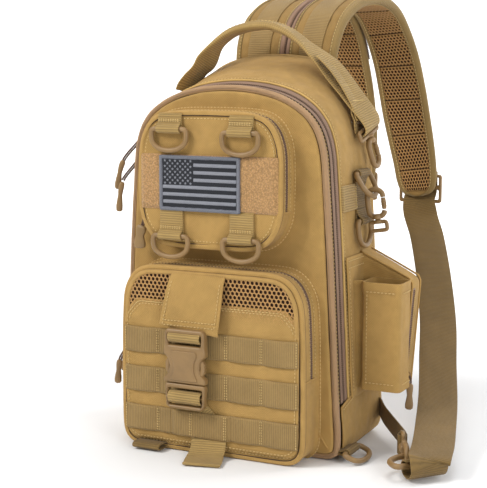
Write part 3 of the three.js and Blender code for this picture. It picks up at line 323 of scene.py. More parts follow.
class Geo:
    """Collects skins of one object; uv are millimetres."""

    def __init__(self):
        self.v, self.f, self.uv, self.m = [], [], [], []

    def grid(self, P, U=None, mat=0, flip=False):
        P = np.asarray(P, float)
        a, b = P.shape[:2]
        if U is None:
            du = np.concatenate([np.zeros((1, b)), np.cumsum(np.linalg.norm(np.diff(P, axis=0), axis=2), axis=0)])
            dv = np.concatenate([np.zeros((a, 1)), np.cumsum(np.linalg.norm(np.diff(P, axis=1), axis=2), axis=1)], axis=1)
            U = np.stack([du, dv], axis=2)
        base = len(self.v)
        self.v.extend(P.reshape(-1, 3).tolist())
        self.uv.extend(np.asarray(U, float).reshape(-1, 2).tolist())
        for i in range(a - 1):
            for j in range(b - 1):
                q = [base + i * b + j, base + (i + 1) * b + j, base + (i + 1) * b + j + 1, base + i * b + j + 1]
                self.f.append(q[::-1] if flip else q)
                self.m.append(mat)
        return self

    def poly(self, pts, mat=0, uv=None):
        base = len(self.v)
        self.v.extend([list(p) for p in pts])
        self.uv.extend([list(q) for q in (uv if uv is not None else [(p[0], p[2]) for p in pts])])
        self.f.append(list(range(base, base + len(pts))))
        self.m.append(mat)

    def tube(self, path, r, sides=8, closed=False, mat=0, up=None, squash=1.0, caps=True):
        path = np.asarray(path, float)
        n = len(path)
        if closed:
            tan = np.roll(path, -1, 0) - np.roll(path, 1, 0)
        else:
            tan = np.gradient(path, axis=0)
        tan = tan / np.maximum(1e-9, np.linalg.norm(tan, axis=1))[:, None]
        ref = unit(up) if up is not None else (V(0, 0, 1) if abs(tan[0][2]) < 0.9 else V(0, 1, 0))
        nrm = unit(ref - tan[0] * ref.dot(tan[0]))
        s = lengths(np.vstack([path, path[:1]]) if closed else path)
        rings = []
        for i in range(n):
            if up is not None:
                nrm = unit(ref - tan[i] * ref.dot(tan[i]))
            else:
                nrm = unit(nrm - tan[i] * nrm.dot(tan[i]))
            b = np.cross(tan[i], nrm)
            rr = r[i] if hasattr(r, "__len__") else r
            rings.append([path[i] + nrm * rr * squash * math.cos(a) + b * rr * math.sin(a) for a in np.linspace(0, 2 * math.pi, sides + 1)])
        P = np.array(rings)
        if closed:
            P = np.concatenate([P, P[:1]])
        rad = r if not hasattr(r, "__len__") else float(np.mean(r))
        U = np.stack(np.meshgrid(s[: P.shape[0]], np.linspace(0, 2 * math.pi * rad, sides + 1), indexing="ij"), axis=2)
        self.grid(P, U, mat)
        if not closed and caps:
            for ring, order in ((P[0], 1), (P[-1], -1)):
                self.poly([p for p in ring[:-1][::order]], mat, [(0, 0)] * sides)
        return self

    def stitches(self, path, normal, pitch=3.6, length=2.5, r=0.5, mat=0, lift=0.2):
        """Short thread segments laid along a path; normal is one vector or one for each point."""
        path = np.asarray(path, float)
        s = lengths(path)
        if s[-1] < length:
            return self
        nn = np.asarray(normal, float)
        many = nn.ndim == 2
        count = max(1, int(s[-1] / pitch))
        for k in range(count):
            c = (k + 0.5) * s[-1] / count
            at = lambda q: np.array([np.interp(q, s, path[:, j]) for j in range(3)])
            n_ = unit(np.array([np.interp(c, s, nn[:, j]) for j in range(3)]) if many else nn)
            a, m_, b = at(c - length / 2), at(c), at(c + length / 2)
            t = unit(b - a)
            side = np.cross(n_, t)
            base = len(self.v)
            pts = [a + n_ * (lift - 0.3), m_ + n_ * (lift + r) , b + n_ * (lift - 0.3)]
            for p, w in ((pts[0], 0.35), (0.5 * (pts[0] + pts[1]) + n_ * 0.12, 0.9), (pts[1], 1.0), (0.5 * (pts[1] + pts[2]) + n_ * 0.12, 0.9), (pts[2], 0.35)):
                for q in (side * r * w, n_ * r * 0.6 * w, -side * r * w, -n_ * r * w * 0.8):
                    self.v.append((p + q).tolist())
                    self.uv.append([0.0, 0.0])
            for i in range(4):
                for j in range(4):
                    j2 = (j + 1) % 4
                    self.f.append([base + i * 4 + j, base + (i + 1) * 4 + j, base + (i + 1) * 4 + j2, base + i * 4 + j2])
                    self.m.append(mat)
            self.f.append([base + 3, base + 2, base + 1, base])
            self.f.append([base + 16, base + 17, base + 18, base + 19])
            self.m.extend([mat, mat])
        return self

    def build(self, name, mats, body="bag", slot="cloth", replaces=(), flat=False, weld=True, outward=True, clamp=True):
        me = bpy.data.meshes.new(name)
        pts = np.asarray(self.v, float).copy()
        pts[:, 1] -= BASE_MIDDLE
        if clamp:
            pts[:, 2] = np.maximum(pts[:, 2], 0.02)
        me.from_pydata((pts / 1000).tolist(), [], self.f)
        layer = me.uv_layers.new(name="mm")
        idx = np.zeros(len(me.loops), dtype=np.int64)
        me.loops.foreach_get("vertex_index", idx)
        layer.data.foreach_set("uv", np.asarray(self.uv, float)[idx].reshape(-1).astype(np.float32))
        me.polygons.foreach_set("material_index", np.asarray(self.m, dtype=np.int32))
        for mt in mats if isinstance(mats, (list, tuple)) else [mats]:
            me.materials.append(mt)
        bm = bmesh.new()
        bm.from_mesh(me)
        if weld:
            bmesh.ops.remove_doubles(bm, verts=bm.verts, dist=2e-6)
            bmesh.ops.dissolve_degenerate(bm, edges=bm.edges, dist=1e-7)
        if outward:
            bmesh.ops.recalc_face_normals(bm, faces=bm.faces)
        bm.to_mesh(me)
        bm.free()
        me.polygons.foreach_set("use_smooth", [not flat] * len(me.polygons))
        ob = bpy.data.objects.new(name, me)
        bpy.context.scene.collection.objects.link(ob)
        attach(ob, body)
        if replaces:
            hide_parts(*replaces)
        return ob


def crease(ob, angle=40):
    """Sharp edges stay sharp where the skin turns by more than the angle."""
    bm = bmesh.new()
    bm.from_mesh(ob.data)
    for e in bm.edges:
        if len(e.link_faces) == 2 and e.calc_face_angle(0) > math.radians(angle):
            e.smooth = False
    bm.to_mesh(ob.data)
    bm.free()
    return ob


def flat_solid(name, loops, origin, u, v, depth, bevel, mats, body="bag", replaces=(), curve=4):
    """Moulded plate: outline with holes in the plane u, v, thickened both ways about the origin, with rounded edges."""
    cu = bpy.data.curves.new(name + "_c", "CURVE")
    cu.dimensions = "2D"
    cu.fill_mode = "BOTH"
    cu.extrude = max(0.0, depth / 2 - bevel)
    cu.bevel_depth = bevel
    cu.bevel_resolution = curve
    cu.offset = -bevel
    for loop in loops:
        sp = cu.splines.new("POLY")
        sp.points.add(len(loop) - 1)
        for p, (a, b) in zip(sp.points, loop):
            p.co = (a, b, 0, 1)
        sp.use_cyclic_u = True
    tmp = bpy.data.objects.new(name + "_c", cu)
    bpy.context.scene.collection.objects.link(tmp)
    deps = bpy.context.evaluated_depsgraph_get()
    me = bpy.data.meshes.new_from_object(tmp.evaluated_get(deps))
    bpy.data.objects.remove(tmp)
    u, v = unit(u), unit(v)
    w = np.cross(u, v)
    o = np.asarray(origin, float) - V(0, BASE_MIDDLE, 0)
    M = Matrix(((u[0], v[0], w[0], o[0]), (u[1], v[1], w[1], o[1]), (u[2], v[2], w[2], o[2]), (0, 0, 0, 1)))
    me.transform(Matrix.Diagonal((0.001, 0.001, 0.001, 1)) @ M)
    me.name = name
    me.materials.clear()
    me.materials.append(mats)
    bm = bmesh.new()
    bm.from_mesh(me)
    bmesh.ops.remove_doubles(bm, verts=bm.verts, dist=2e-6)
    bmesh.ops.dissolve_degenerate(bm, edges=bm.edges, dist=1e-7)
    bmesh.ops.recalc_face_normals(bm, faces=bm.faces)
    for e in bm.edges:
        if len(e.link_faces) == 2 and e.calc_face_angle(0) > math.radians(35):
            e.smooth = False
    bm.to_mesh(me)
    bm.free()
    me.polygons.foreach_set("use_smooth", [True] * len(me.polygons))
    ob = bpy.data.objects.new(name, me)
    bpy.context.scene.collection.objects.link(ob)
    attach(ob, body)
    if replaces:
        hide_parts(*replaces)
    return ob


def rounded(points, r=2.0, steps=5):
    """Closed polygon with rounded corners."""
    pts = np.asarray(points, float)
    n = len(pts)
    out = []
    for i in range(n):
        a, p, b = pts[i - 1], pts[i], pts[(i + 1) % n]
        la, lb = np.linalg.norm(a - p), np.linalg.norm(b - p)
        d = min(r, la * 0.48, lb * 0.48)
        s, e = p + (a - p) / la * d, p + (b - p) / lb * d
        for k in range(steps + 1):
            t = k / steps
            out.append((1 - t) ** 2 * s + 2 * t * (1 - t) * p + t * t * e)
    return np.array(out)


def band(geo, stations, thick=1.6, step=2.0, mat=0, per=6, ends=True, edge_mat=None, bow=0.0):
    """Webbing strip. Station: point, width direction, half width, optional thickness."""
    rows = np.array([[*s[0], *unit(s[1]), s[2], s[3] if len(s) > 3 else thick] for s in stations], float)
    fine = resample(smooth(rows, per), step=step)
    p = fine[:, :3]
    tan = np.gradient(p, axis=0)
    tan /= np.maximum(1e-9, np.linalg.norm(tan, axis=1))[:, None]
    s = lengths(p)
    P, U = [], []
    for i in range(len(fine)):
        w = fine[i, 3:6] - tan[i] * fine[i, 3:6].dot(tan[i])
        w = unit(w)
        nrm = np.cross(w, tan[i])
        h, d = fine[i, 6], fine[i, 7] / 2
        e = min(d, h * 0.45)
        prof = [(-h + e, -d), (-h * 0.5, -d - bow), (0, -d - bow), (h * 0.5, -d - bow), (h - e, -d), (h - 0.25 * e, -0.6 * d), (h, 0), (h - 0.25 * e, 0.6 * d), (h - e, d), (h * 0.5, d + bow), (0, d + bow), (-h * 0.5, d + bow), (-h + e, d), (-h + 0.25 * e, 0.6 * d), (-h, 0), (-h + 0.25 * e, -0.6 * d), (-h + e, -d)]
        P.append([p[i] + w * a + nrm * b for a, b in prof])
        U.append([(a + h, s[i]) for a, b in prof])
    P, U = np.array(P), np.array(U)
    geo.grid(P, U, mat)
    if ends:
        geo.poly(list(P[0][:-1]), mat, list(U[0][:-1]))
        geo.poly(list(P[-1][:-1][::-1]), mat, list(U[-1][:-1][::-1]))
    return p, fine


# ------------------------------------------------------------------ body outline
BODY_ROWS = [
    (0, 0, 0, 0), (60, 0, 60, 0), (100, 0, 98, 0), (112, 2.6, 110, 3), (117.4, 9, 115.4, 10), (118.3, 25, 117.2, 25),
    (116.6, 49.2, 116.4, 49.2), (114.8, 80, 114.6, 80), (112.5, 125, 112.4, 127), (109.2, 190, 109.2, 193),
    (106.8, 227, 107, 234), (104.5, 260, 104.8, 269), (102, 290, 101.4, 299), (96.5, 310, 96, 322), (88.5, 323, 89, 341),
    (79, 332, 80.5, 356), (66, 340, 69, 368), (50, 346.5, 54, 376), (30, 351, 33, 381.5), (10, 353, 12, 384), (0, 353.2, 0, 384.2),
]
_rows = smooth(np.array(BODY_ROWS, float), 7)
FRONT_HALF, REAR_HALF = _rows[:, :2], _rows[:, 2:]
FRONT_HALF[:, 1] = np.maximum(FRONT_HALF[:, 1], 0)
REAR_HALF[:, 1] = np.maximum(REAR_HALF[:, 1], 0)


def half_outline(y):
    t = min(1.0, max(0.0, (y - 16) / 102))
    return FRONT_HALF * (1 - t) + REAR_HALF * t


def mirrored(half, mid=0.0):
    right = half + np.array([mid, 0])
    left = (half * np.array([-1, 1]) + np.array([mid, 0]))[1:-1][::-1]
    return np.concatenate([right, left])


def inward(pts):
    d = np.roll(pts, -1, 0) - np.roll(pts, 1, 0)
    d /= np.maximum(1e-9, np.linalg.norm(d, axis=1))[:, None]
    return np.stack([-d[:, 1], d[:, 0]], axis=1)


def body_ring(y, inset=0.0):
    o = mirrored(half_outline(y))
    o = o + inward(o) * inset
    return np.stack([o[:, 0], np.full(len(o), y), o[:, 1]], axis=1)


def side_x(y, z):
    h = half_outline(y)
    k = np.argmax(h[:, 0])
    top = h[k:]
    if z <= top[0][1]:
        low = h[: k + 1]
        return float(np.interp(z, low[:, 1], low[:, 0]))
    return float(np.interp(z, top[:, 1], top[:, 0]))


def top_z(x, y):
    h = half_outline(y)
    h = h[int(np.argmax(h[:, 0])):][::-1]
    return float(np.interp(abs(x), h[:, 0], h[:, 1]))


def wrap(ring):
    return np.concatenate([ring, ring[:1]])


def shell(rings, geo, mat=0, wall=1.6, amp=0.0, freq=0.02, seed=1.0, hold=2, floor=None):
    """Closed cloth wall through rings: returns the rings as a grid with the surface normal at each point."""
    P = np.array([wrap(r) for r in rings])
    n_u = np.gradient(P, axis=0)
    n_v = np.roll(P[:, :-1], -1, 1) - np.roll(P[:, :-1], 1, 1)
    n_v = np.concatenate([n_v, n_v[:, :1]], axis=1)
    N = np.cross(n_u, n_v)
    N /= np.maximum(1e-9, np.linalg.norm(N, axis=2))[:, :, None]
    return P, N


# ------------------------------------------------------------------ soft shells
def fill_rows(ring, depth_at, centre, steps, power=1.0):
    """Rings shrinking from one ring to its centre, at a depth given by how far in they are."""
    out = []
    for f in steps:
        r = centre + (ring - centre) * f
        r[:, 1] = depth_at(f, r)
        out.append(r)
    return out


def skin(name, rings, mats, seed, amp, freq, wall, slot, replaces, hold_rows=1, keep_floor=True, body="bag", calm=None, first=0, pucker=None):
    """Loft of outer rings to a last ring that is a point, with an inner skin."""
    P = np.array([wrap(r) for r in rings])
    nu, nv = P.shape[:2]
    du = np.gradient(P, axis=0)
    ring = P[:, :-1]
    dv = np.roll(ring, -1, 1) - np.roll(ring, 1, 1)
    dv = np.concatenate([dv, dv[:, :1]], axis=1)
    N = np.cross(dv, du)
    ln = np.linalg.norm(N, axis=2)
    N = N / np.maximum(1e-9, ln)[:, :, None]
    mid = P.reshape(-1, 3).mean(0)
    probe = P[nu // 3]
    if np.mean(np.einsum("ij,ij->i", N[nu // 3], probe - mid)) < 0:
        N = -N
    N[-1] = N[-2].mean(0)
    Q = P.copy()
    for i in range(nu):
        k = 0.0 if i < hold_rows else 1.0
        if k == 0:
            continue
        for j in range(nv - 1):
            p = P[i, j]
            a = amp * (ripple(p, freq, seed) * 0.75 + ripple(p, freq * 2.7, seed + 9) * 0.35)
            if calm is not None:
                a *= calm(p)
            if pucker is not None and 0 <= i - pucker < 6:
                a += (0.5, 0.85, 0.7, 0.5, 0.3, 0.12)[i - pucker] * 0.55 * ripple(p, 0.11, seed + 3)
            if first and i < first:
                a = a * 0.35 + 0.22 * ripple(p, 0.06, seed + 5)
            Q[i, j] = p + N[i, j] * a
        Q[i, -1] = Q[i, 0]
    Q[-1] = Q[-1].mean(0)
    if keep_floor:
        Q[:, :, 2] = np.maximum(Q[:, :, 2], 0.02)
    inner = Q - N * wall
    inner[-1] = inner[-1].mean(0)
    if keep_floor:
        inner[:, :, 2] = np.maximum(inner[:, :, 2], 0.02 + wall * 0.6)
    s = np.zeros((nu, nv, 2))
    ref = P[min(2, nu - 1)]
    arc = lengths(ref)
    s[:, :, 0] = arc[None, :]
    across = np.concatenate([[0], np.cumsum(np.linalg.norm(np.diff(P, axis=0), axis=2).mean(1))])
    s[:, :, 1] = across[:, None]
    # the flat face keeps plain x, z millimetres so that the weave stays square
    for i in range(nu):
        if abs(P[i, :, 1].max() - P[i, :, 1].min()) < 6 and i > nu * 0.35:
            s[i, :, 0] = P[i, :, 0]
            s[i, :, 1] = P[i, :, 2]
    g = Geo()
    if first:
        g.grid(Q[:first], s[:first], 1)
        g.grid(Q[first - 1:], s[first - 1:], 0)
    else:
        g.grid(Q, s, 0)
    g.grid(inner, s, 0, flip=True)
    g.grid(np.stack([Q[0], inner[0]]), None, 0)
    return g.build(name, mats, body, slot, replaces), Q


def bump_rows(profile, ring_fn):
    return [ring_fn(y, inset) for y, inset in profile]


face_steps = [0.985, 0.96, 0.92, 0.87, 0.8, 0.72, 0.63, 0.54, 0.45, 0.36, 0.27, 0.18, 0.1, 0.04, 0.0]

# ---- front panel
edge = [(11.3, 2.0), (10.6, 1.5), (8.8, 1.35), (7.7, 1.5)]
edge += [(4.4 + 3.0 * math.cos(math.radians(q)), 2.8 - 3.0 * math.sin(math.radians(q))) for q in (32, 55, 75, 90, 105, 125, 150, 175, 200, 220)]
N_WELT = len(edge)
edge += [(3.2, 5.6), (1.7, 5.9), (0.6, 6.5), (0.2, 7.6), (0.1, 9.5)]
rows = bump_rows(edge, body_ring)
centre = V(0, 0, 178)
last = body_ring(0.1, 9.5)
rows += fill_rows(last, lambda f, r: 0.1 - 0.5 * (1 - f * f), centre, face_steps)
skin("front_panel", rows, [CLOTH, WELT], 3.1, 1.35, 0.017, 1.6, "cloth", ["front_shell"], hold_rows=2, first=N_WELT, pucker=N_WELT + 3)

# ---- rear body with its sides, crown and back
edge = [(30.2, 1.0), (30.5, 0.2), (31.4, -0.2), (33.5, -0.1), (38, 0)] + [(y, 0) for y in (46, 55, 64, 73, 82, 91, 100, 108)] + [(113, 0.15), (116.2, 0.9), (118.3, 2.2), (119.5, 4), (120, 6.2), (119.5, 7.4), (120, 8.6)]
rows = bump_rows(edge, body_ring)
last = body_ring(120, 8.6)
rows += fill_rows(last, lambda f, r: 120 + 0.4 * (1 - f * f), V(0, 120, 190), face_steps)
skin("rear_body", rows, CLOTH, 7.7, 1.5, 0.016, 1.6, "cloth", ["rear_shell"], hold_rows=3)


def strip(y, z_top, side, off, count, z_low=0.0):
    """Points up one side at depth y, from the base round to z_top, raised by off."""
    h = half_outline(y)
    o = mirrored(h)
    q = o - inward(o) * off
    q = q[: len(h)]
    k0 = int(np.argmax(h[:, 0] > 92))
    seg = q[k0:]
    k1 = int(np.argmax(seg[:, 1] > z_top))
    a, b = seg[k1 - 1], seg[k1]
    t = (z_top - a[1]) / max(1e-6, b[1] - a[1])
    seg = np.vstack([seg[:k1], a + (b - a) * t])
    seg = resample(seg, count=count, dims=2)
    return np.stack([seg[:, 0] * side, np.full(count, y), seg[:, 1]], axis=1)


def boot_top(y):
    return 50.5 + 9.5 * math.sin(min(1, max(0, (y - 12) / 60)) * math.pi / 2)


# ---- boot panel round the lower sides, over the zip's ends
for side, tag in ((1, "right"), (-1, "left")):
    g = Geo()
    ys = np.concatenate([[11.6, 12.0], np.linspace(13, 117, 30)])
    outer = np.array([strip(y, boot_top(y), side, 0.9 if y > 11.9 else 0.3, 26) for y in ys])
    for i in range(outer.shape[0]):
        for j in range(outer.shape[1]):
            outer[i, j, 0] += side * 0.5 * ripple(outer[i, j], 0.03, 4) * min(1, j / 4)
    outer[:, :, 2] = np.maximum(outer[:, :, 2], 0.04)
    inner = outer.copy()
    inner[:, :, 0] -= side * 1.0
    inner[:, :, 2] += 0.05
    g.grid(outer, None, 0)
    g.grid(inner, None, 0)
    g.grid(np.stack([outer[:, -1], inner[:, -1]]), None, 0)
    g.grid(np.stack([outer[0], inner[0]]), None, 0)
    g.grid(np.stack([outer[-1], inner[-1]]), None, 0)
    g.grid(np.stack([outer[:, 0], inner[:, 0]]), None, 0)
    g.build(f"boot_{tag}", CLOTH)
    st = Geo()
    line = np.array([strip(y, boot_top(y) - 3.2, side, 1.0, 10)[-1] for y in np.linspace(13, 116, 40)])
    st.stitches(line, V(side, 0, 0), mat=0)
    line2 = np.array([strip(12.2 + 0.0 * z, z, side, 1.0, 10)[-1] for z in np.linspace(12, 48, 12)])
    roll = np.array([strip(y, boot_top(y) + 0.2, side, 0.7, 10)[-1] for y in np.linspace(12, 117, 50)])
    st.tube(roll, 0.9, 8, mat=1)
    st.build(f"boot_edge_{tag}", [STITCH, CLOTH_FOLD])

# ---- main zip
half_n = len(FRONT_HALF)
loop_n = len(mirrored(FRONT_HALF))
k_right = int(np.argmax((FRONT_HALF[:, 1] > 51) & (np.arange(half_n) > 20)))
ks = np.arange(k_right, loop_n - k_right + 1)


def along_body(y, inset, z_min=51):
    return body_ring(y, inset)[ks]


def coil_row(geo, path, width_dir, out_dir, pitch=2.0, w=1.5, h=0.75, mat=0):
    """Zip coil: small bent teeth on both sides of a chain line."""
    path = np.asarray(path, float)
    s = lengths(path)
    n = int(s[-1] / pitch)
    tan = np.gradient(path, axis=0)
    for k in range(n):
        c = (k + 0.5) * s[-1] / n
        p = np.array([np.interp(c, s, path[:, j]) for j in range(3)])
        t = unit(np.array([np.interp(c, s, tan[:, j]) for j in range(3)]))
        wd = width_dir if width_dir.ndim == 1 else unit(np.array([np.interp(c, s, width_dir[:, j]) for j in range(3)]))
        od = out_dir if out_dir.ndim == 1 else unit(np.array([np.interp(c, s, out_dir[:, j]) for j in range(3)]))
        for sg, off in ((1, 0.0), (-1, pitch / 2)):
            q = p + t * off
            b = len(geo.v)
            hw = 0.42 * pitch
            for a, z, ww in ((-0.15, 0.2, 0.6), (0.35, h, 1.0), (w, h * 0.7, 1.0), (w + 0.5, -0.2, 0.7)):
                geo.v.append((q + wd * sg * a + od * z - t * hw * 0.5 * ww).tolist())
                geo.v.append((q + wd * sg * a + od * z + t * hw * 0.5 * ww).tolist())
                geo.v.append((q + wd * sg * a + od * (z - 0.6) + t * hw * 0.5 * ww).tolist())
                geo.v.append((q + wd * sg * a + od * (z - 0.6) - t * hw * 0.5 * ww).tolist())
                geo.uv.extend([[0, 0]] * 4)
            for i in range(3):
                for j in range(4):
                    j2 = (j + 1) % 4
                    geo.f.append([b + i * 4 + j, b + (i + 1) * 4 + j, b + (i + 1) * 4 + j2, b + i * 4 + j2])
                    geo.m.append(mat)
            geo.f.append([b, b + 1, b + 2, b + 3])
            geo.f.append([b + 15, b + 14, b + 13, b + 12])
            geo.m.extend([mat, mat])


g = Geo()
prof = [(11.4, 2.2), (11.7, 1.3), (12.8, 0.75), (15.5, 0.6), (18.2, 0.7), (19.2, 1.2), (20.6, 1.5), (22.0, 1.2), (23.0, 0.7), (25.8, 0.6), (28.6, 0.75), (29.6, 1.3), (29.9, 2.2)]
top = np.array([along_body(y, i) for y, i in prof])
low = np.array([along_body(y, max(i, 0) + 1.2 if 1 < n < len(prof) - 2 else i + 0.6) for n, (y, i) in enumerate(prof)])
arc = lengths(top[6])
U = np.stack(np.meshgrid(np.array([p[0] for p in prof]), arc, indexing="ij"), axis=2)
g.grid(top, U, 0)
g.grid(low, U, 0, flip=True)
for a, b in ((top[0], low[0]), (top[-1], low[-1])):
    g.grid(np.stack([a, b]), None, 0)
for e in (0, -1):
    g.grid(np.stack([top[:, e], low[:, e]]), None, 0)
tape_ob = g.build("zip_tapes", TAPE, slot="zip_tape", replaces=["main_zip"])
g = Geo()
chain = along_body(20.6, 0.95)
outd = along_body(20.6, -1) - along_body(20.6, 0)
coil_row(g, chain, V(0, 1, 0), outd, pitch=1.9, w=1.7, h=0.8)
g.build("zip_coil_main", COIL, slot="zip_tape")
g = Geo()
g.tube(along_body(29.9, 0.1), 1.1, 8, mat=0)
g.build("zip_welts", PIPING)
# dark tubes along the zip's edges and round the face: painted seam shadow
g = Geo()
g.tube(along_body(30.9, 0.35), 0.5, 6, mat=0)
g.tube(along_body(11.6, 1.0), 0.75, 6, mat=0)
g.tube(np.array(body_ring(2.6, 5.75)), 0.55, 6, closed=True, mat=0)
g.build("zip_groove_shadows", GROOVE_SHADOW)
g = Geo()
for y, inset in ((9.2, 1.25), (33.4, -0.2)):
    nn = along_body(y, inset - 1) - along_body(y, inset)
    g.stitches(along_body(y, inset), nn, mat=0)
g.build("zip_stitches", STITCH)


# ------------------------------------------------------------------ pockets
def pocket_outline(rows, mid):
    half = smooth(np.array(rows, float), 8)
    return mirrored(half, mid)


UPPER_MID, LOWER_MID = -6.0, -0.5
UPPER = pocket_outline([(0, 199), (40, 199.6), (57, 204.5), (68.5, 216), (74.5, 232), (75.6, 250), (75.6, 275), (75, 291), (71.8, 305), (65, 317), (54, 324.8), (35, 328.2), (0, 329)], UPPER_MID)
LOWER = pocket_outline([(0, 0.6), (60, 0.6), (80, 1.2), (90, 5), (95.6, 13), (97.4, 28), (97.4, 70), (97, 110), (96.2, 132), (94.8, 150), (91, 162), (84, 172), (73, 178.4), (55, 180.6), (0, 181)], LOWER_MID)


def pocket_ring(outline, y, inset):
    o = outline + inward(outline) * inset
    return np.stack([o[:, 0], np.full(len(o), y), o[:, 1]], axis=1)


def between(outline, z_left, z_right):
    """Indices from the right side at z_right over the top to the left side at z_left."""
    n = len(outline)
    half = n // 2
    k1 = next(k for k in range(4, half) if outline[k][1] > z_right and outline[k][0] > outline[:, 0].mean() + 20)
    k2 = next(k for k in range(n - 1, half, -1) if outline[k][1] > z_left and outline[k][0] < outline[:, 0].mean() - 20)
    return np.arange(k1, k2 + 1)


def make_pocket(tag, outline, face, centre, z_zip, zip_y, replaces, seed, bulge):
    fr = lambda y, i: pocket_ring(outline, y, i)
    sgn = face
    prof = [(-0.2, -1.9), (-0.9, -2.1), (-2.0, -1.0), (-4, -0.1), (zip_y + 5.2, 0.0), (zip_y + 4.0, 0.1), (zip_y + 3.4, 1.0), (zip_y - 3.4, 1.0), (zip_y - 4.0, 0.1), (zip_y - 5.2, 0.0)]
    y = zip_y - 6
    y = zip_y - 7
    while y > face + 8.5:
        prof.append((y, -0.1))
        y -= 3.5
    prof += [(face + 5.2, 0.0), (face + 4.2, 0.5), (face + 3.6, 0.2), (face + 2.4, -0.3), (face + 1.1, 0.1), (face + 0.1, 1.2), (face - 0.3, 2.6), (face + 0.2, 4.0), (face + 1.0, 4.8), (face + 0.6, 5.8), (face + 0.2, 7.5)]
    rows = [fr(a, b) for a, b in prof]
    # outside the zip's run the gusset is plain: close the groove there
    run = set(between(outline, *z_zip).tolist())
    for i, (a, b) in enumerate(prof):
        if b == 1.0 and abs(a - zip_y) < 4:
            plain = fr(a, 0.0)
            for k in range(len(outline)):
                if k not in run:
                    rows[i][k] = plain[k]
    last = fr(face + 0.2, 7.5)
    rows += fill_rows(last, lambda f, r: face + 0.2 - bulge * (1 - f * f), centre, face_steps)
    ob, Q = skin(tag, rows, CLOTH, seed, 0.9, 0.022, 1.5, "cloth", replaces, hold_rows=2, pucker=len(prof) - 2, calm=lambda p: 0.45 if (face < -30 and p[2] > 118) else 1.0)
    idx = between(outline, *z_zip)
    g = Geo()
    ys = [zip_y + 3.5, zip_y + 2.7, zip_y + 1.4, zip_y, zip_y - 1.4, zip_y - 2.7, zip_y - 3.5]
    top = np.array([fr(q, 0.75 if 0 < i < 6 else 1.6)[idx] for i, q in enumerate(ys)])
    low = np.array([fr(q, 1.9)[idx] for q in ys])
    g.grid(top, None, 0)
    g.grid(low, None, 0)
    g.grid(np.stack([top[0], low[0]]), None, 0)
    g.grid(np.stack([top[-1], low[-1]]), None, 0)
    for e in (0, -1):
        g.grid(np.stack([top[:, e], low[:, e]]), None, 0)
    g.build(tag + "_zip_tape", TAPE, slot="zip_tape")
    g = Geo()
    out = fr(zip_y, -1)[idx] - fr(zip_y, 0)[idx]
    coil_row(g, fr(zip_y, 0.6)[idx], V(0, 1, 0), out, pitch=1.8, w=1.5, h=0.65)
    g.build(tag + "_zip_coil", COIL, slot="zip_tape")
    g = Geo()
    nn = fr(-1, -1) - fr(-1, 0)
    g.stitches(wrap(fr(-0.9, -3.1) + V(0, 0.35, 0)), V(0, -1, 0), mat=0)
    for q in (zip_y + 5.8, zip_y - 5.8):
        g.stitches(fr(q, -0.1)[idx], out, mat=0)
    g.stitches(wrap(fr(face + 0.45, 6.6)), V(0, -1, 0), mat=0)
    g.build(tag + "_stitches", STITCH)
    # flange that joins the pocket to the panel, and the gusset's lower seam
    g = Geo()
    g.tube(fr(-0.1, -2.3), 1.15, 8, closed=True, mat=0)
    g.tube(fr(face + 2.3, 1.2), 2.35, 12, closed=True, mat=0)
    # dark tubes beside the gusset seams and the flange: painted seam shadow
    gg = Geo()
    gg.tube(fr(face + 4.9, 0.05), 0.55, 6, closed=True, mat=0)
    gg.tube(fr(face + 0.35, 3.75), 0.6, 6, closed=True, mat=0)
    gg.tube(fr(-0.5, -1.1), 0.55, 6, closed=True, mat=0)
    P_ = np.array(gg.v)
    P_[:, 2] = np.maximum(P_[:, 2], 0.05)
    gg.v = P_.tolist()
    gg.build(tag + "_groove_shadows", GROOVE_SHADOW)
    for k in (idx[0], idx[-1]):
        a = [fr(q, -0.25)[k] for q in np.linspace(-3.5, face + 5.5, 10)]
        g.tube(a, 0.8, 6, mat=0)
    g.build(tag + "_piping", CLOTH_FOLD)
    return fr


up_ring = make_pocket("upper_pocket_skin", UPPER, -25.0, V(-6, -25, 264), (216, 236), -11.5, ["upper_pocket"], 21.0, 0.3)
lp_ring = make_pocket("lower_pocket_skin", LOWER, -33.0, V(-0.5, -33, 90), (92, 78), -13.5, ["lower_pocket"], 31.0, 0.2)


# ------------------------------------------------------------------ open net
def net(geo, surf, nu, nv, depth=1.3, mat=0, back=1, hole=0.62, stagger=True, keep=None, thread=0.5):
    """Spacer net: a sheet of rounded-diamond holes over a dark ground of painted shade. surf(u, v) gives point and
    normal; u, v are cell counts.
    """
    for i in range(-1, nu + 1):
        for j in range(-1, nv + 1):
            off = 0.5 if (j % 2 and stagger) else 0.0
            cu, cv = i + 0.5 + off, j + 0.5
            if cu < 0.45 or cu > nu - 0.45 or cv < 0.45 or cv > nv - 0.45:
                continue
            if keep is not None and not keep(cu, cv):
                continue
            outer = [(-0.5, -0.33), (0, -0.67), (0.5, -0.33), (0.5, 0.33), (0, 0.67), (-0.5, 0.33)]
            o_pts, i_pts, i_low = [], [], []
            for a, b in outer:
                p, n_ = surf(min(max(cu + a, 0), nu), min(max(cv + b, 0), nv))
                o_pts.append(p)
                q, n2 = surf(min(max(cu + a * hole, 0), nu), min(max(cv + b * hole, 0), nv))
                i_pts.append(q + n2 * thread)
                i_low.append(q - n2 * depth)
            base = len(geo.v)
            for ring_ in (o_pts, i_pts, i_low):
                for p in ring_:
                    geo.v.append(list(p))
                    geo.uv.append([p[0] + p[1], p[2]])
            for k in range(6):
                k2 = (k + 1) % 6
                geo.f.append([base + k, base + k2, base + 6 + k2, base + 6 + k])
                geo.f.append([base + 6 + k, base + 6 + k2, base + 12 + k2, base + 12 + k])
                geo.m.extend([mat, mat])
            # the hole's floor takes the dark back material: painted shade inside the hole
            geo.f.append([base + 12 + k for k in range(6)])
            geo.m.append(back)


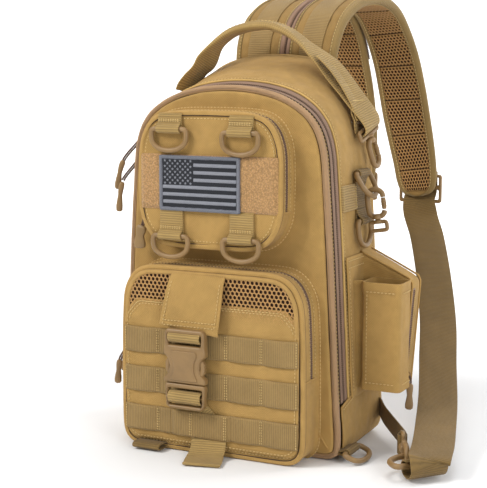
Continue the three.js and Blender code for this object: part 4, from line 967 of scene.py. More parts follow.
# ---- net panel at the top of the lower pocket
g = Geo()
X0, X1, Z0, Z1 = -91.0, 90.0, 128.0, 177.0
NU, NV = 40, 13
inner_edge = LOWER + inward(LOWER) * 6.2
from_poly = [tuple(p) for p in inner_edge]


def inside(poly, x, z):
    hit = False
    n = len(poly)
    j = n - 1
    for i in range(n):
        xi, zi = poly[i]
        xj, zj = poly[j]
        if (zi > z) != (zj > z) and x < (xj - xi) * (z - zi) / (zj - zi) + xi:
            hit = not hit
        j = i
    return hit


def lp_surf(u, v):
    x = X0 + (X1 - X0) * u / NU
    z = Z0 + (Z1 - Z0) * v / NV
    return V(x, -34.35 - 0.5 * math.sin(math.pi * v / NV), z), V(0, -1, 0)


def lp_keep(u, v):
    p, _ = lp_surf(u, v)
    return inside(from_poly, p[0], p[2]) and not (-36 < p[0] < 16 and p[2] < 170 and False)


net(g, lp_surf, NU, NV, depth=0.9, keep=lp_keep, hole=0.8, thread=0.5)
g.build("pocket_net", [NET, NET_SHADE], slot="mesh", outward=False)
g = Geo()
arc_idx = between(LOWER, 120, 120)
g.tube(lp_ring(-34.2, 5.6)[arc_idx], 2.3, 12, mat=0, squash=0.8)
g.build("pocket_net_binding", CLOTH_FOLD)

# ---- tackle panel with clipped corners
PANEL = [(-84, 8.5), (83, 8.5), (90.5, 14), (92, 24), (92.6, 134), (80, 148), (-81, 148), (-93.6, 134), (-93, 24), (-91.5, 14)]
poly = rounded(PANEL, 4, 4)
ctr = poly.mean(0)
g = Geo()
rings = []
for f, y in ((1.0, -33.2), (1.0, -34.4), (0.992, -34.95), (0.975, -34.7), (0.965, -35.0), (0.9, -35.0), (0.7, -35.05), (0.4, -35.1), (0.0, -35.1)):
    o = ctr + (poly - ctr) * f
    rings.append(wrap(np.stack([o[:, 0], np.full(len(o), y), o[:, 1]], axis=1)))
P = np.array(rings)
for i in range(3, P.shape[0]):
    for j in range(P.shape[1] - 1):
        P[i, j, 1] += 0.35 * ripple(P[i, j], 0.03, 2)
    P[i, -1] = P[i, 0]
P[-1] = P[-1].mean(0)
U = np.stack([P[:, :, 0], P[:, :, 2]], axis=2)
g.grid(P, U, 0)
g.poly(list(P[0][:-1]), 0)
g.build("tackle_panel", CLOTH, replaces=["molle_panel"])
g = Geo()
for f, z in ((0.965, 0), (0.94, 0)):
    o = ctr + (poly - ctr) * f
    top_part = [q for q in o if q[1] > 126]
    g.stitches(np.array([V(q[0], -35.05, q[1]) for q in top_part]), V(0, -1, 0), mat=0)
g.stitches(np.array([V(q[0], -35.05, q[1]) for q in wrap(ctr + (poly - ctr) * 0.965)]), V(0, -1, 0), mat=0)
g.build("tackle_panel_stitches", STITCH)

# ---- webbing rows
ROW_Y = -33.35 - 1.5 - 0.35
SEWN = 37.0
ROWS = [("top", 95, 120), ("middle", 56, 81), ("bottom", 17, 42)]
for tag, lo, hi in ROWS:
    g = Geo()
    xs = np.arange(-93, 92.01, 0.925)

    def lift(x, z=0):
        ph = ((x + 93) % SEWN) / SEWN
        wave = max(0.0, math.sin(math.pi * ph)) ** 0.65 * 1.9 * (0.75 + 0.25 * ripple((x // SEWN * 50, lo, 3), 0.7, 5))
        if tag == "bottom" and -42 < x < 24:
            over = 2.9 * min(1, (x + 42) / 5, (24 - x) / 5)
            return max(wave * 0.6, over)
        return wave

    zs = np.linspace(lo, hi, 12)
    outer = np.zeros((len(xs), len(zs), 3))
    for i, x in enumerate(xs):
        for j, z in enumerate(zs):
            e = min(j, len(zs) - 1 - j)
            cup = 0.35 if e == 0 else 0.0
            sag = 0.5 * math.sin(math.pi * ((x + 93) % SEWN) / SEWN) * (1 if tag != "bottom" else 0.4)
            outer[i, j] = (x, ROW_Y + 0.2 - lift(x) - 1.1 + cup, z - sag + 0.35 * ripple((x, 0, z), 0.04, lo))
    inner = outer.copy()
    inner[:, :, 1] += 1.15
    U = np.stack(np.meshgrid(xs, zs, indexing="ij")[::-1], axis=2)
    g.grid(outer, U, 0)
    g.grid(inner, U, 0)
    for a, b in ((outer[0], inner[0]), (outer[-1], inner[-1])):
        g.grid(np.stack([a, b]), None, 0)
    for e in (0, -1):
        g.grid(np.stack([outer[:, e], inner[:, e]]), None, 0)
    g.build(f"row_{tag}", WEB_ROW, slot="webbing", replaces=[f"molle_row_{tag}"])
    g = Geo()
    for k in range(6):
        x = -93 + SEWN * k
        for dx in (-0.9, 0.9):
            xx = min(91, max(-92, x + dx))
            path = np.array([V(xx, ROW_Y - 0.95 - lift(xx), z) for z in np.linspace(lo + 1, hi - 1, 14)])
            g.stitches(path, V(0, -1, 0), pitch=2.5, length=1.9, r=0.5, mat=0)
    g.build(f"row_stitches_{tag}", STITCH)

# ------------------------------------------------------------------ loop panel and flag patch
g = Geo()
xs = np.linspace(-79, 67, 74)
zs = np.linspace(235, 288, 28)
P = np.zeros((len(xs), len(zs), 3))
for i, x in enumerate(xs):
    for j, z in enumerate(zs):
        e = min(i, j, len(xs) - 1 - i, len(zs) - 1 - j)
        y = -25.4 if e == 0 else (-26.9 if e == 1 else -27.5 - 0.45 * abs(ripple((x, 0, z), 0.5, 3)) - 0.3 * ripple((x, 0, z), 0.12, 1))
        P[i, j] = (x + 0.5 * ripple((0, 0, z), 0.3, 7) * (i in (0, len(xs) - 1)), y, z)
g.grid(P, None, 0)
back = P.copy()
back[:, :, 1] = -25.3
g.grid(back[::73, ::27], None, 0)
g.build("loop_pile_panel", PILE, slot="loop_pile", replaces=["loop_panel"])

FX0, FX1, FZ0, FZ1 = -57.0, 29.0, 234.4, 287.2
FY = -28.0
g = Geo()
o = rounded([(FX0, FZ0), (FX1, FZ0), (FX1, FZ1), (FX0, FZ1)], 1.6, 4)
ctr = o.mean(0)
rings = []
for ins, y in ((0, -27.2), (-0.1, -28.2), (0.4, -29.3), (1.5, -29.7), (2.7, -29.4), (3.3, -28.9), (3.6, -28.8)):
    q = o + (ctr - o) / np.linalg.norm(ctr - o, axis=1)[:, None] * 0
    q = np.stack([np.clip(o[:, 0], FX0 + ins, FX1 - ins), np.clip(o[:, 1], FZ0 + ins, FZ1 - ins)], axis=1)
    rings.append(wrap(np.stack([q[:, 0], np.full(len(q), y), q[:, 1]], axis=1)))
P = np.array(rings)
g.grid(P, None, 0)
g.poly(list(P[0][:-1]), 0)
# merrowed edge: slanted thread turns
edge_path = np.array([[p[0], -29.45, p[2]] for p in P[3]])
g.build("patch_border", PATCH_EDGE, slot="patch", replaces=["flag_patch"])
g = Geo()
s = lengths(edge_path)
for k in range(int(s[-1] / 1.1)):
    c = k * 1.1
    p = np.array([np.interp(c, s, edge_path[:, j]) for j in range(3)])
    q = np.array([np.interp(min(s[-1], c + 0.5), s, edge_path[:, j]) for j in range(3)])
    t = unit(q - p) if np.linalg.norm(q - p) > 1e-6 else V(1, 0, 0)
    n2 = V(-t[2], 0, t[0])
    a, b = p - n2 * 1.4 - t * 0.3, p + n2 * 1.4 + t * 0.3
    g.tube(np.array([a + V(0, 0.55, 0), a * 0.7 + b * 0.3 + V(0, -0.2, 0), a * 0.3 + b * 0.7 + V(0, -0.2, 0), b + V(0, 0.55, 0)]), 0.42, 5, mat=0)
g.build("patch_border_threads", PATCH_GREY, slot="patch")
IX0, IX1, IZ0, IZ1 = FX0 + 3.4, FX1 - 3.4, FZ0 + 3.4, FZ1 - 3.4
g = Geo()
ground = np.array([[V(x, -28.85 - 0.15 * ripple((x, 0, z), 0.2), z) for z in np.linspace(IZ0 - 0.4, IZ1 + 0.4, 30)] for x in np.linspace(IX0 - 0.4, IX1 + 0.4, 60)])
g.grid(ground, None, 0)
back = ground.copy()
back[:, :, 1] += 0.7
g.grid(back, None, 0)
H = (IZ1 - IZ0) / 13
CX, CZ = IX0 + 0.42 * (IX1 - IX0), IZ1 - 7 * H
for k in range(13):
    if k % 2 == 0:
        continue
    z1 = IZ1 - k * H
    z0 = z1 - H
    x0 = CX + 0.6 if k < 7 else IX0
    xs = np.linspace(x0, IX1, 30)
    rows = []
    for z, y in ((z0 + 0.1, -28.8), (z0 + 0.35, -29.25), (z0 + 1.3, -29.45), (z1 - 1.3, -29.45), (z1 - 0.35, -29.25), (z1 - 0.1, -28.8)):
        rows.append([V(x, y if IX0 < x < IX1 else -28.8, z) for x in xs])
    g.grid(np.array(rows), None, 1)
# canton of small raised stars
star_rows = 9
for r in range(star_rows):
    cols = 6 if r % 2 == 0 else 5
    for c in range(cols):
        x = IX0 + (CX - IX0) * ((c + (0.5 if r % 2 == 0 else 1.0)) / 6)
        z = IZ1 - 0.4 - (7 * H - 0.8) * ((r + 0.5) / star_rows)
        pts = []
        for q in range(10):
            rad = 1.62 if q % 2 == 0 else 0.72
            ang = math.pi / 2 + q * math.pi / 5
            pts.append((x + rad * math.cos(ang), z + rad * math.sin(ang)))
        base = len(g.v)
        for px_, pz_ in pts:
            g.v.append([px_, -28.85, pz_])
            g.uv.append([px_, pz_])
        g.v.append([x, -29.55, z])
        g.uv.append([x, z])
        for q in range(10):
            g.f.append([base + q, base + (q + 1) % 10, base + 10])
            g.m.append(1)
g.build("patch_field", [PATCH_DARK, PATCH_GREY], slot="patch", outward=False)


# ------------------------------------------------------------------ buckle, flap and strap
BX = -19.5
g = Geo()
st = [(V(-11.1, -34.6, 175.4), V(1, 0, 0), 28.6, 2.0), (V(-11.2, -36.9, 173.6), V(1, 0, 0), 28.8, 2.2), (V(-11.5, -38.7, 170), V(1, 0, 0), 29, 2.2), (V(-12.2, -39.9, 165), V(1, 0, 0), 29.6, 2.2), (V(-13, -41, 159), V(1, 0, 0), 30, 2.2), (V(-15.5, -42.6, 142), V(1, 0, 0), 31, 2.2), (V(-17.4, -43.6, 129), V(1, 0, 0), 31.6, 2.2), (V(-18.2, -43.9, 122.6), V(1, 0, 0), 32, 2.4)]
p, fine = band(g, st, 2.2, 2.5, bow=0.25)
P = np.array(g.v)
for i in range(len(P)):
    P[i, 1] += 0.7 * ripple(P[i], 0.035, 6)
g.v = P.tolist()
g.build("flap", CLOTH, replaces=["buckle_flap"])
g = Geo()


def flap_point(z, dx):
    zz = [s[0][2] for s in st[2:]][::-1]
    yy = [s[0][1] for s in st[2:]][::-1]
    xx = [s[0][0] for s in st[2:]][::-1]
    hh = [s[2] for s in st[2:]][::-1]
    h = np.interp(z, zz, hh)
    return V(np.interp(z, zz, xx) + dx * h, np.interp(z, zz, yy) - 1.45, z)


for dx in (-0.88, 0.88):
    g.stitches(np.array([flap_point(z, dx) for z in np.linspace(169, 126, 30)]), V(0, -1, 0), mat=0)
for z in (126.5, 131.0):
    g.stitches(np.array([flap_point(z, d) for d in np.linspace(-0.86, 0.86, 20)]), V(0, -1, 0), mat=0)
g.build("flap_stitches", STITCH)

# webbing from under the flap over the socket's bar
g = Geo()
band(g, [(V(BX, -40.8, 128), V(1, 0, 0), 17.2), (V(BX, -42.2, 122), V(1, 0, 0), 17.2), (V(BX, -46.4, 120.2), V(1, 0, 0), 17.2), (V(BX, -50.6, 119.4), V(1, 0, 0), 17.2), (V(BX, -52.2, 116.6), V(1, 0, 0), 17.2), (V(BX, -50.4, 113.0), V(1, 0, 0), 17.2), (V(BX, -46, 111.2), V(1, 0, 0), 17.2), (V(BX, -41.4, 111.8), V(1, 0, 0), 17.2)], 1.6, 1.2)
g.build("buckle_anchor_web", WEB, slot="webbing")


def flat(pts):
    return [(a, b) for a, b in pts]


hx = 22.6
socket = rounded([(-hx + 3.5, 124.2), (hx - 3.5, 124.2), (hx - 1.2, 121), (hx - 1.2, 107), (hx, 103), (hx - 0.6, 99), (hx - 5.2, 95), (hx - 6.6, 88), (hx - 5.2, 81), (hx - 0.4, 77), (hx + 0.2, 72.0), (-hx - 0.2, 72.0), (-hx + 0.4, 77), (-hx + 5.2, 81), (-hx + 6.6, 88), (-hx + 5.2, 95), (-hx + 0.6, 99), (-hx, 103), (-hx + 1.2, 107), (-hx + 1.2, 121)], 3.2, 5)
hole = rounded([(-17.6, 108.4), (17.6, 108.4), (17.6, 119.4), (-17.6, 119.4)], 1.6, 4)
sh = lambda loop: [(a + BX, b) for a, b in loop]
flat_solid("socket_body", [sh(socket), sh(hole)[::-1]], V(0, -46.3, 0), V(1, 0, 0), V(0, 0, 1), 9.2, 2.2, HARD, replaces=["buckle_socket"])
# raised front plate of the socket and the two squeeze arms in the waist
plate = rounded([(-13.4, 103.5), (13.4, 103.5), (13.8, 99), (11.4, 94), (10.6, 88), (11.4, 82), (14.2, 77), (14.2, 74.8), (-14.2, 74.8), (-14.2, 77), (-11.4, 82), (-10.6, 88), (-11.4, 94), (-13.8, 99)], 2.4, 5)
flat_solid("socket_plate", [sh(plate)], V(0, -51.1, 0), V(1, 0, 0), V(0, 0, 1), 1.8, 0.7, HARD)
for sg, tag in ((1, "right"), (-1, "left")):
    arm = rounded([(sg * 14.6, 96.5), (sg * 18.4, 96.0), (sg * 20.8, 92.5), (sg * 21.2, 88), (sg * 20.8, 83.5), (sg * 18.6, 79.6), (sg * 14.8, 79.2), (sg * 16.2, 84), (sg * 16.6, 88), (sg * 16.2, 92)], 1.4, 4)
    flat_solid(f"squeeze_arm_{tag}", [sh(arm)], V(0, -46.4, 0), V(1, 0, 0), V(0, 0, 1), 5.6, 1.3, HARD)
    g = Geo()
    for q in range(4):
        z = 84.4 + q * 2.3
        g.tube(np.array([V(BX + sg * 20.9, y, z) for y in np.linspace(-48.4, -44.4, 6)]), 0.5, 6, mat=0)
    g.build(f"arm_ridges_{tag}", HARD_DARK, slot="moulded")
plug = rounded([(-21.2, 71.2), (21.2, 71.2), (21.6, 67), (20.6, 50), (17.4, 46.2), (-17.4, 46.2), (-20.6, 50), (-21.6, 67)], 2.6, 5)
h1 = rounded([(-18.2, 59.6), (18.2, 59.6), (18.2, 66.4), (-18.2, 66.4)], 1.4, 4)
h2 = rounded([(-18, 49.8), (18, 49.8), (18, 56.8), (-18, 56.8)], 1.4, 4)
flat_solid("plug_frame", [sh(plug), sh(h1)[::-1], sh(h2)[::-1]], V(0, -46.2, 0), V(1, 0, 0), V(0, 0, 1), 7.4, 1.9, HARD, replaces=["buckle_plug"])
g = Geo()
wx = V(1, 0, 0)
bp, bf = band(g, [
    (V(-18.6, -37.4, 47.5), wx, 17.3), (V(-19.3, -38.8, 50.2), wx, 17.4), (V(-19.5, -42.2, 51.8), wx, 17.4), (V(-19.5, -47.4, 52.6), wx, 17.4), (V(-19.5, -50.8, 54.2), wx, 17.4),
    (V(-19.5, -52.0, 58), wx, 17.4), (V(-19.5, -51.0, 61.8), wx, 17.4), (V(-19.5, -47, 63.4), wx, 17.4), (V(-19.5, -42.6, 62.2), wx, 17.4), (V(-19.5, -39.8, 58.5), wx, 17.4),
    (V(-19.2, -38.9, 52), wx, 17.4),
], 1.5, 1.2)
g.build("buckle_wrap_web", WEB, slot="webbing")
g = Geo()
band(g, [
    (V(-19.3, -39.6, 56), wx, 17.8), (V(-18.9, -37.8, 48), wx, 17.8), (V(-16.5, -36.6, 40), wx, 18), (V(-8, -36.5, 30), wx, 18.5), (V(-1.5, -36.5, 21), wx, 18.5), (V(0, -37.4, 15), wx, 18.5),
    (V(0.6, -41.4, 7.6), wx, 18.5), (V(1.6, -48.4, 3.2), wx, 18.5), (V(4.5, -57, 2.0), wx, 18.5), (V(7.5, -65.5, 1.6), wx, 18.5), (V(8.4, -68.4, 1.7), wx, 18.4, 2.6), (V(8.8, -70, 1.8), wx, 18.2, 2.6),
], 1.5, 1.6)
g.build("buckle_tail_web", WEB, slot="webbing", replaces=["buckle_strap"])
# loop in the bottom seam
g = Geo()
lw = V(1, 0, 0)
band(g, [(V(-64, -31, 3.0), lw, 15), (V(-64, -37, 1.6), lw, 15), (V(-64, -45, 1.5), lw, 15), (V(-64, -48.6, 3.6), lw, 15), (V(-64, -46, 6.2), lw, 15), (V(-64, -38, 6.4), lw, 15), (V(-64, -32, 5.4), lw, 15)], 1.5, 1.2)
g.build("seam_loop", WEB_OLIVE, slot="webbing")


# ------------------------------------------------------------------ rings and their loops
RING_R, RING_GAP, GAP = 2.1, 0.5, 0.35
SEAT = RING_R + RING_GAP + 1.5 + GAP


def ring_path(c, a, d, inside, drop, r):
    half = inside / 2 + r
    pts = [(-0.6 * half, 0), (0, 0), (0.6 * half, 0), (0.93 * half, 0.5), (1.03 * half, 3.2), (1.04 * half, 7)]
    arc = []
    for k in range(1, 12):
        q = math.pi * k / 12
        arc.append((half * 1.03 * math.cos(q), 8 + (drop - 8) * math.sin(q) ** 0.9))
    path = pts + arc + [(-1.04 * half, 7), (-1.03 * half, 3.2), (-0.93 * half, 0.5)]
    return np.array([c + a * u + d * v for u, v in smooth(np.array(path), 5, closed=True)])


def ring_piece(node, c, a, d, inside, drop, body=None, r=RING_R, mat=HARD):
    a, d = unit(a), unit(d - unit(a) * np.dot(d, unit(a)))
    g = Geo()
    g.tube(ring_path(c, a, d, inside, drop, r), r * 1.2, 16, closed=True, mat=0, up=np.cross(a, d))
    return g.build(node + "_wire", mat, body or node, "moulded", [node])


def loop_web(name, c, a, d, out, width, tail, replaces=(), r=RING_R, mats=None, lead=0.0, layers=True, bar_wrap=True):
    """Webbing wrapped round a ring's bar and sewn back on itself along the cloth."""
    a, d, out = unit(a), unit(d), unit(out)
    R = r * 1.2 + 0.95
    g = Geo()
    pts = []
    pts.append(c - d * tail - out * (R + 0.25))
    pts.append(c - d * (tail * 0.6) - out * (R + 0.2))
    pts.append(c - d * 3.0 - out * (R + 0.05))
    for k in range(0, 9):
        q = math.pi - (math.pi * 1.16) * k / 8
        pts.append(c + out * R * math.cos(q) + d * R * math.sin(q))
    pts.append(c - d * (R + 1.2) - out * 0.2)
    pts.append(c - d * min(tail - 1, 8.5) - out * (R - 1.35))
    if tail > 12:
        pts.append(c - d * (tail - 1.5) - out * (R - 1.2))
    band(g, [(p, a, width / 2) for p in pts], 1.35, 0.9, per=4)
    return g.build(name, mats or WEB, "bag", "webbing", replaces)


FRONT = [("upper_left", -46, 312, 12), ("upper_right", 29.5, 310, 13), ("lower_left", -45, 210, 23), ("lower_right", 30, 210, 23)]
for tag, x, z, tail in FRONT:
    c = V(x, -25 - SEAT, z)
    ring_piece("ring_" + tag, c, V(1, 0, 0), V(0, 0, -1), 32, 20.3)
    loop_web("web_" + tag, c, V(1, 0, 0), V(0, 0, -1), V(0, -1, 0), 25, tail + 3, ["tab_" + tag])
    g = Geo()
    zz = z + min(tail - 2, 7.5)
    for q in (zz, zz + 1.6):
        g.stitches(np.array([V(t, -25 - SEAT + 0.2 + (0.2 if tail > 15 else 0.1), q) for t in np.linspace(x - 11.4, x + 11.4, 12)]), V(0, -1, 0), pitch=2.4, length=1.8, mat=0, lift=0.9)
    g.build("web_stitch_" + tag, STITCH)


# ------------------------------------------------------------------ snap hooks
def hook_frame(at, down, across):
    down = unit(down)
    across = unit(across - down * np.dot(across, down))
    o = np.asarray(at, float) - down * 1.7
    return o, across, down, np.cross(across, down)


def snap_hook(tag, at, down, across, eye_half, eye_nodes, hook_nodes, gate_node, eye_body, hook_body, gate_body):
    o, u, v, w = hook_frame(at, down, across)
    pt = lambda a, b, c=0.0: o + u * a + v * b + w * c
    # eye: a rounded bar frame with a neck
    g = Geo()
    e = eye_half - 1.5
    loop = rounded([(-e, 1.8), (e, 1.8), (e, 10.1), (-e, 10.1)], 2.6, 5)
    g.tube(np.array([pt(a, b) for a, b in loop]), 2.0, 12, closed=True, mat=0, up=w)
    neck = np.array([pt(0, b) for b in (9.6, 10.8, 12.2, 12.35)])
    g.tube(neck, [4.6, 4.4, 3.6, 2.0], 16, mat=0)
    eye = g
    # hook: collar, two shoulders and the bent loop
    h = Geo()
    h.tube(np.array([pt(0, b) for b in (12.9, 13.1, 14.6, 16.8, 18.0, 18.1)]), [2.4, 4.3, 4.6, 4.4, 3.2, 1.6], 16, mat=0)
    bend = smooth(np.array([(-1, 15.4), (-4.6, 16.0), (-7.4, 18.6), (-8.2, 23), (-8.2, 33), (-7.2, 38.2), (-4, 41.2), (0, 42.0), (4, 41.2), (7.2, 38.2), (8.1, 35.4), (8.2, 33.8)]), 6)
    h.tube(np.array([pt(a, b) for a, b in bend]), 2.65, 14, mat=0, up=w)
    arm = smooth(np.array([(1, 15.4), (4.6, 16.0), (7.2, 18.2), (8.1, 20.6)]), 6)
    h.tube(np.array([pt(a, b) for a, b in arm]), 2.6, 14, mat=0, up=w)
    # gate with thumb ridges
    gt = Geo()
    gt.tube(np.array([pt(8.15, b) for b in (22.0, 22.4, 24, 28, 31.4, 33.0, 33.3)]), [1.3, 2.1, 2.35, 2.35, 2.35, 2.3, 1.9], 14, mat=0, up=w)
    for b in (25.0, 26.6, 28.2, 29.8):
        gt.tube(np.array([pt(8.15 + 2.35 * math.cos(q), b, 2.35 * math.sin(q)) for q in np.linspace(0, 2 * math.pi, 17)[:-1]]), 0.45, 6, closed=True, mat=0)
    if eye_body == hook_body:
        base = len(eye.v)
        eye.v += h.v
        eye.uv += h.uv
        eye.f += [[i + base for i in f] for f in h.f]
        eye.m += h.m
        eye.tube(np.array([pt(0, 11.5), pt(0, 14)]), 2.6, 12, mat=0)
        eye.build(tag + "_hook_body", HARD, hook_body, "moulded", hook_nodes)
    else:
        eye.tube(np.array([pt(0, 11.5), pt(0, 12.6)]), 2.2, 12, mat=0)
        eye.build(tag + "_eye", HARD, eye_body, "moulded", eye_nodes)
        h.build(tag + "_hook_body", HARD, hook_body, "moulded", hook_nodes)
    gt.build(tag + "_gate_body", HARD, gate_body, "moulded", [gate_node])


HANDLE_EYE = V(107.5, 93, 311.9)
snap_hook("handle", HANDLE_EYE, V(0.2, 0.26, -1), V(0, 1, 0.26), 24, ["handle_swivel"], ["handle_hook"], "handle_gate", "bag", "handle_hook", "handle_gate")
snap_hook("side", V(127.5, 78, 212.4), V(-0.155, 0, 1), V(1, 0, 0.155), 10, [], ["side_hook"], "side_gate", "ring_side_upper", "ring_side_upper", "side_gate")

LOWER_WEB = {
    "right": dict(lock=72.0, bar=V(204, -8, 13), a=V(0.64, 0.77, 0), eye=V(158, 60, 15), route=[[80, 346, 193, 0.93, 0.37], [93, 328, 175, 0.92, 0.38], [113, 288, 149, 0.9, 0.43], [131, 248, 123, 0.88, 0.47], [149, 203, 96, 0.83, 0.55], [165, 155, 70, 0.76, 0.65], [182, 104, 46, 0.7, 0.71], [196, 55, 32, 0.66, 0.75], [206, 18, 25, 0.65, 0.76]]),
    "left": dict(lock=-8.5, bar=V(-131, 212, 13), a=V(0.994, 0.11, 0), eye=V(-122, 140, 15), route=[[-13, 349, 194, 0.93, -0.37], [-24, 338, 180, 0.85, -0.52], [-46, 315, 152, 0.8, -0.6], [-70, 289, 122, 0.8, -0.6], [-92, 264, 92, 0.84, -0.54], [-110, 243, 64, 0.92, -0.38], [-122, 229, 44, 0.97, -0.2]]),
}
for tag, L in LOWER_WEB.items():
    x, sg = L["lock"], (1 if L["lock"] > 0 else -1)
    a = unit(L["a"])
    d = unit(np.cross(V(0, 0, 1), a))
    if np.dot(d, L["eye"] - L["bar"]) < 0:
        d = -d
    ring_piece(f"end_ring_{tag}", L["bar"], a, d + V(0, 0, -0.02), 46, 28, body="bag", r=2.3)
    away = lambda k, z: np.array([L["bar"][0] - d[0] * k, L["bar"][1] - d[1] * k, z])
    g = Geo()
    fx = V(1, 0, 0)
    stn = [(V(x, 369.0, 246), fx, 19.4), (V(x, 369.2, 232), fx, 19.4), (V(x, 369.1, 227.4), fx, 19.4), (V(x, 366.3, 220.6), fx, 19.4), (V(x + 0.4 * sg, 361.2, 216.5), fx, 19.4), (V(x + 1.2 * sg, 355.5, 208), fx, 19.4)]
    stn += [(V(*r[:3]), V(r[3], r[4], 0), 19.5) for r in L["route"]]
    stn += [(away(12, 20), a, 19.4), (away(13.4, 12.4), a, 19.4), (away(10.6, 5.4), a, 19.4), (away(5, 3.0), a, 19.4), (away(-1, 5.2), a, 19.3), (away(-4.8, 9.4), a, 19.3), (away(-5.1, 14.6), a, 19.3), (away(-2, 18), a, 19.3), (away(3.0, 17.9), a, 19.3)]
    band(g, stn, 1.6, 3.0, per=7)
    P = np.array(g.v)
    for i in range(len(P)):
        if 40 < P[i, 2] < 200:
            P[i, 1] += 1.4 * ripple(P[i], 0.012, 8)
    g.v = P.tolist()
    g.build(f"lower_web_{tag}", WEB_OLIVE, slot="webbing", replaces=[f"lower_webbing_{tag}"])
    # ladder lock
    frame_ = rounded([(x - 26, 209), (x + 26, 209), (x + 26, 243), (x - 26, 243)], 4, 5)
    b1 = rounded([(x - 22.6, 213.2), (x + 22.6, 213.2), (x + 22.6, 224.8), (x - 22.6, 224.8)], 1.6, 4)
    b2 = rounded([(x - 22.6, 230.2), (x + 22.6, 230.2), (x + 22.6, 239.4), (x - 22.6, 239.4)], 1.6, 4)
    flat_solid(f"lock_{tag}", [flat(frame_), flat(b1)[::-1], flat(b2)[::-1]], V(0, 364.7, 0), V(1, 0, 0), V(0, 0, 1), 4.8, 1.5, HARD, replaces=[f"ladder_lock_{tag}"])
    # floor hook
    apex = L["bar"] + d * 28
    apex[2] = 12.4
    dirn = apex - L["eye"]
    dirn[2] = 0
    dirn = unit(dirn)
    eye = apex - dirn * (43.5 - 4.6 - 1.7 - 0.5 - 4.4)
    eye[2] = 14.2
    target = apex.copy()
    snap_hook(f"floor_{tag}", eye, target - eye, V(0, 0, 1), 13.6, [], [f"floor_{tag}_hook"], f"floor_{tag}_gate", "bag", "bag", f"floor_{tag}_gate")
    # corner tab
    across = unit(np.cross(V(0, 0, 1), dirn))
    if across[1] < 0:
        across = -across
    near = lambda k, off, z: np.array([*(eye + dirn * k + across * off)[:2], z])
    corner = [V(115.0, 112, 28), V(119.9, 109.3, 27), V(132, 92, 23)] if tag == "right" else [V(-115.6, 112, 22.5), V(-118.6, 118.4, 21), V(-120.0, 122, 20)]
    g = Geo()
    pts = corner + [near(-14, 2.2, 16), near(-6, 3.6, 14.8), near(-1, 4.1, 14.4), near(3.2, 3.4, 14.2), near(4.4, 0, 14.2), near(3.2, -3.4, 14.2), near(-1, -4.0, 14.4), near(-6, -1.6, 14.8), near(-12, 0.6, 15.6)]
    band(g, [(q, V(0, 0, 1), 9.5) for q in pts], 1.4, 1.6, per=5)
    g.build(f"corner_web_{tag}", WEB_OLIVE, slot="webbing")

# ---- ring at the foot of the right side
c = V(125.2, 16, 8.6)
dd = unit(V(1, 0, -0.38))
ring_piece("bottom_ring", c, V(0, 1, 0), dd, 32, 17)
loop_web("web_bottom", c, V(0, 1, 0), dd, unit(V(0.38, 0, 1)), 27, 9.5, ["bottom_tab"], mats=WEB_OLIVE)

# ---- rings on the two sides
def side_down(y, z, side=1):
    return unit(V(side * (side_x(y, z - 10) - side_x(y, z + 10)), 0, -20))


SIDE_Y, SIDE_IN = 78.0, 29.0
hang_u, hang_l = side_down(SIDE_Y, 268), side_down(SIDE_Y, 222)
cu = V(side_x(SIDE_Y, 268) + SEAT, SIDE_Y, 268)
cl = V(side_x(SIDE_Y, 222) + SEAT, SIDE_Y, 222)
t = math.radians(-25)
raised = unit(V(hang_u[0] * math.cos(t) + hang_u[2] * math.sin(t), 0, -hang_u[0] * math.sin(t) + hang_u[2] * math.cos(t)))
ring_piece("ring_side_upper", cu, V(0, 1, 0), raised, SIDE_IN, 25, body="ring_side_upper")
ring_piece("ring_side_lower", cl, V(0, 1, 0), hang_l, SIDE_IN, 25)
loop_web("web_side_upper", cu, V(0, 1, 0), -hang_u, unit(V(1, 0, 0.06)), SIDE_IN - 2, 13, ["side_ring_tab"], mats=WEB_OLIVE)
loop_web("web_side_lower", cl, V(0, 1, 0), hang_l, unit(V(1, 0, 0.06)), SIDE_IN - 2, 13, [], mats=WEB_OLIVE)
g = Geo()
band(g, [(V(side_x(SIDE_Y, z) + 1.2, SIDE_Y, z), V(0, 1, 0), 13.4) for z in (262, 250, 240, 229)], 1.5, 1.5)
g.build("web_side_run", WEB_OLIVE, slot="webbing")
g = Geo()
band(g, [(V(side_x(y, 246) + 1.4 - (0.6 if y < 32 else 0), y, 246), V(-0.08, 0, 1), 12.6) for y in (30.6, 34, 44, 56, 66)], 1.7, 1.5)
g.build("web_side_cross", WEB_ACROSS, slot="webbing")
g = Geo()
for y in (33.2, 62.5, 64.6):
    g.stitches(np.array([V(side_x(y, z) + 2.3, y, z) for z in np.linspace(235, 257, 12)]), V(1, 0, 0), pitch=2.3, length=1.7, mat=0)
g.build("web_side_stitches", STITCH)
cL = V(-106.89, 86, 288)
hang = side_down(86, 288, -1)
ring_piece("ring_left", cL, V(0, 1, 0), hang, SIDE_IN, 25)
loop_web("web_left", cL, V(0, 1, 0), hang, V(-1, 0, 0.05), SIDE_IN - 5, 17, ["tab_left"])

# ------------------------------------------------------------------ carry handle
def lie(x, y, up):
    return V(x, y, top_z(x, y) + up)


def slope(x, y):
    return unit(lie(x + 8, y + 17, 0) - lie(x - 8, y - 17, 0))


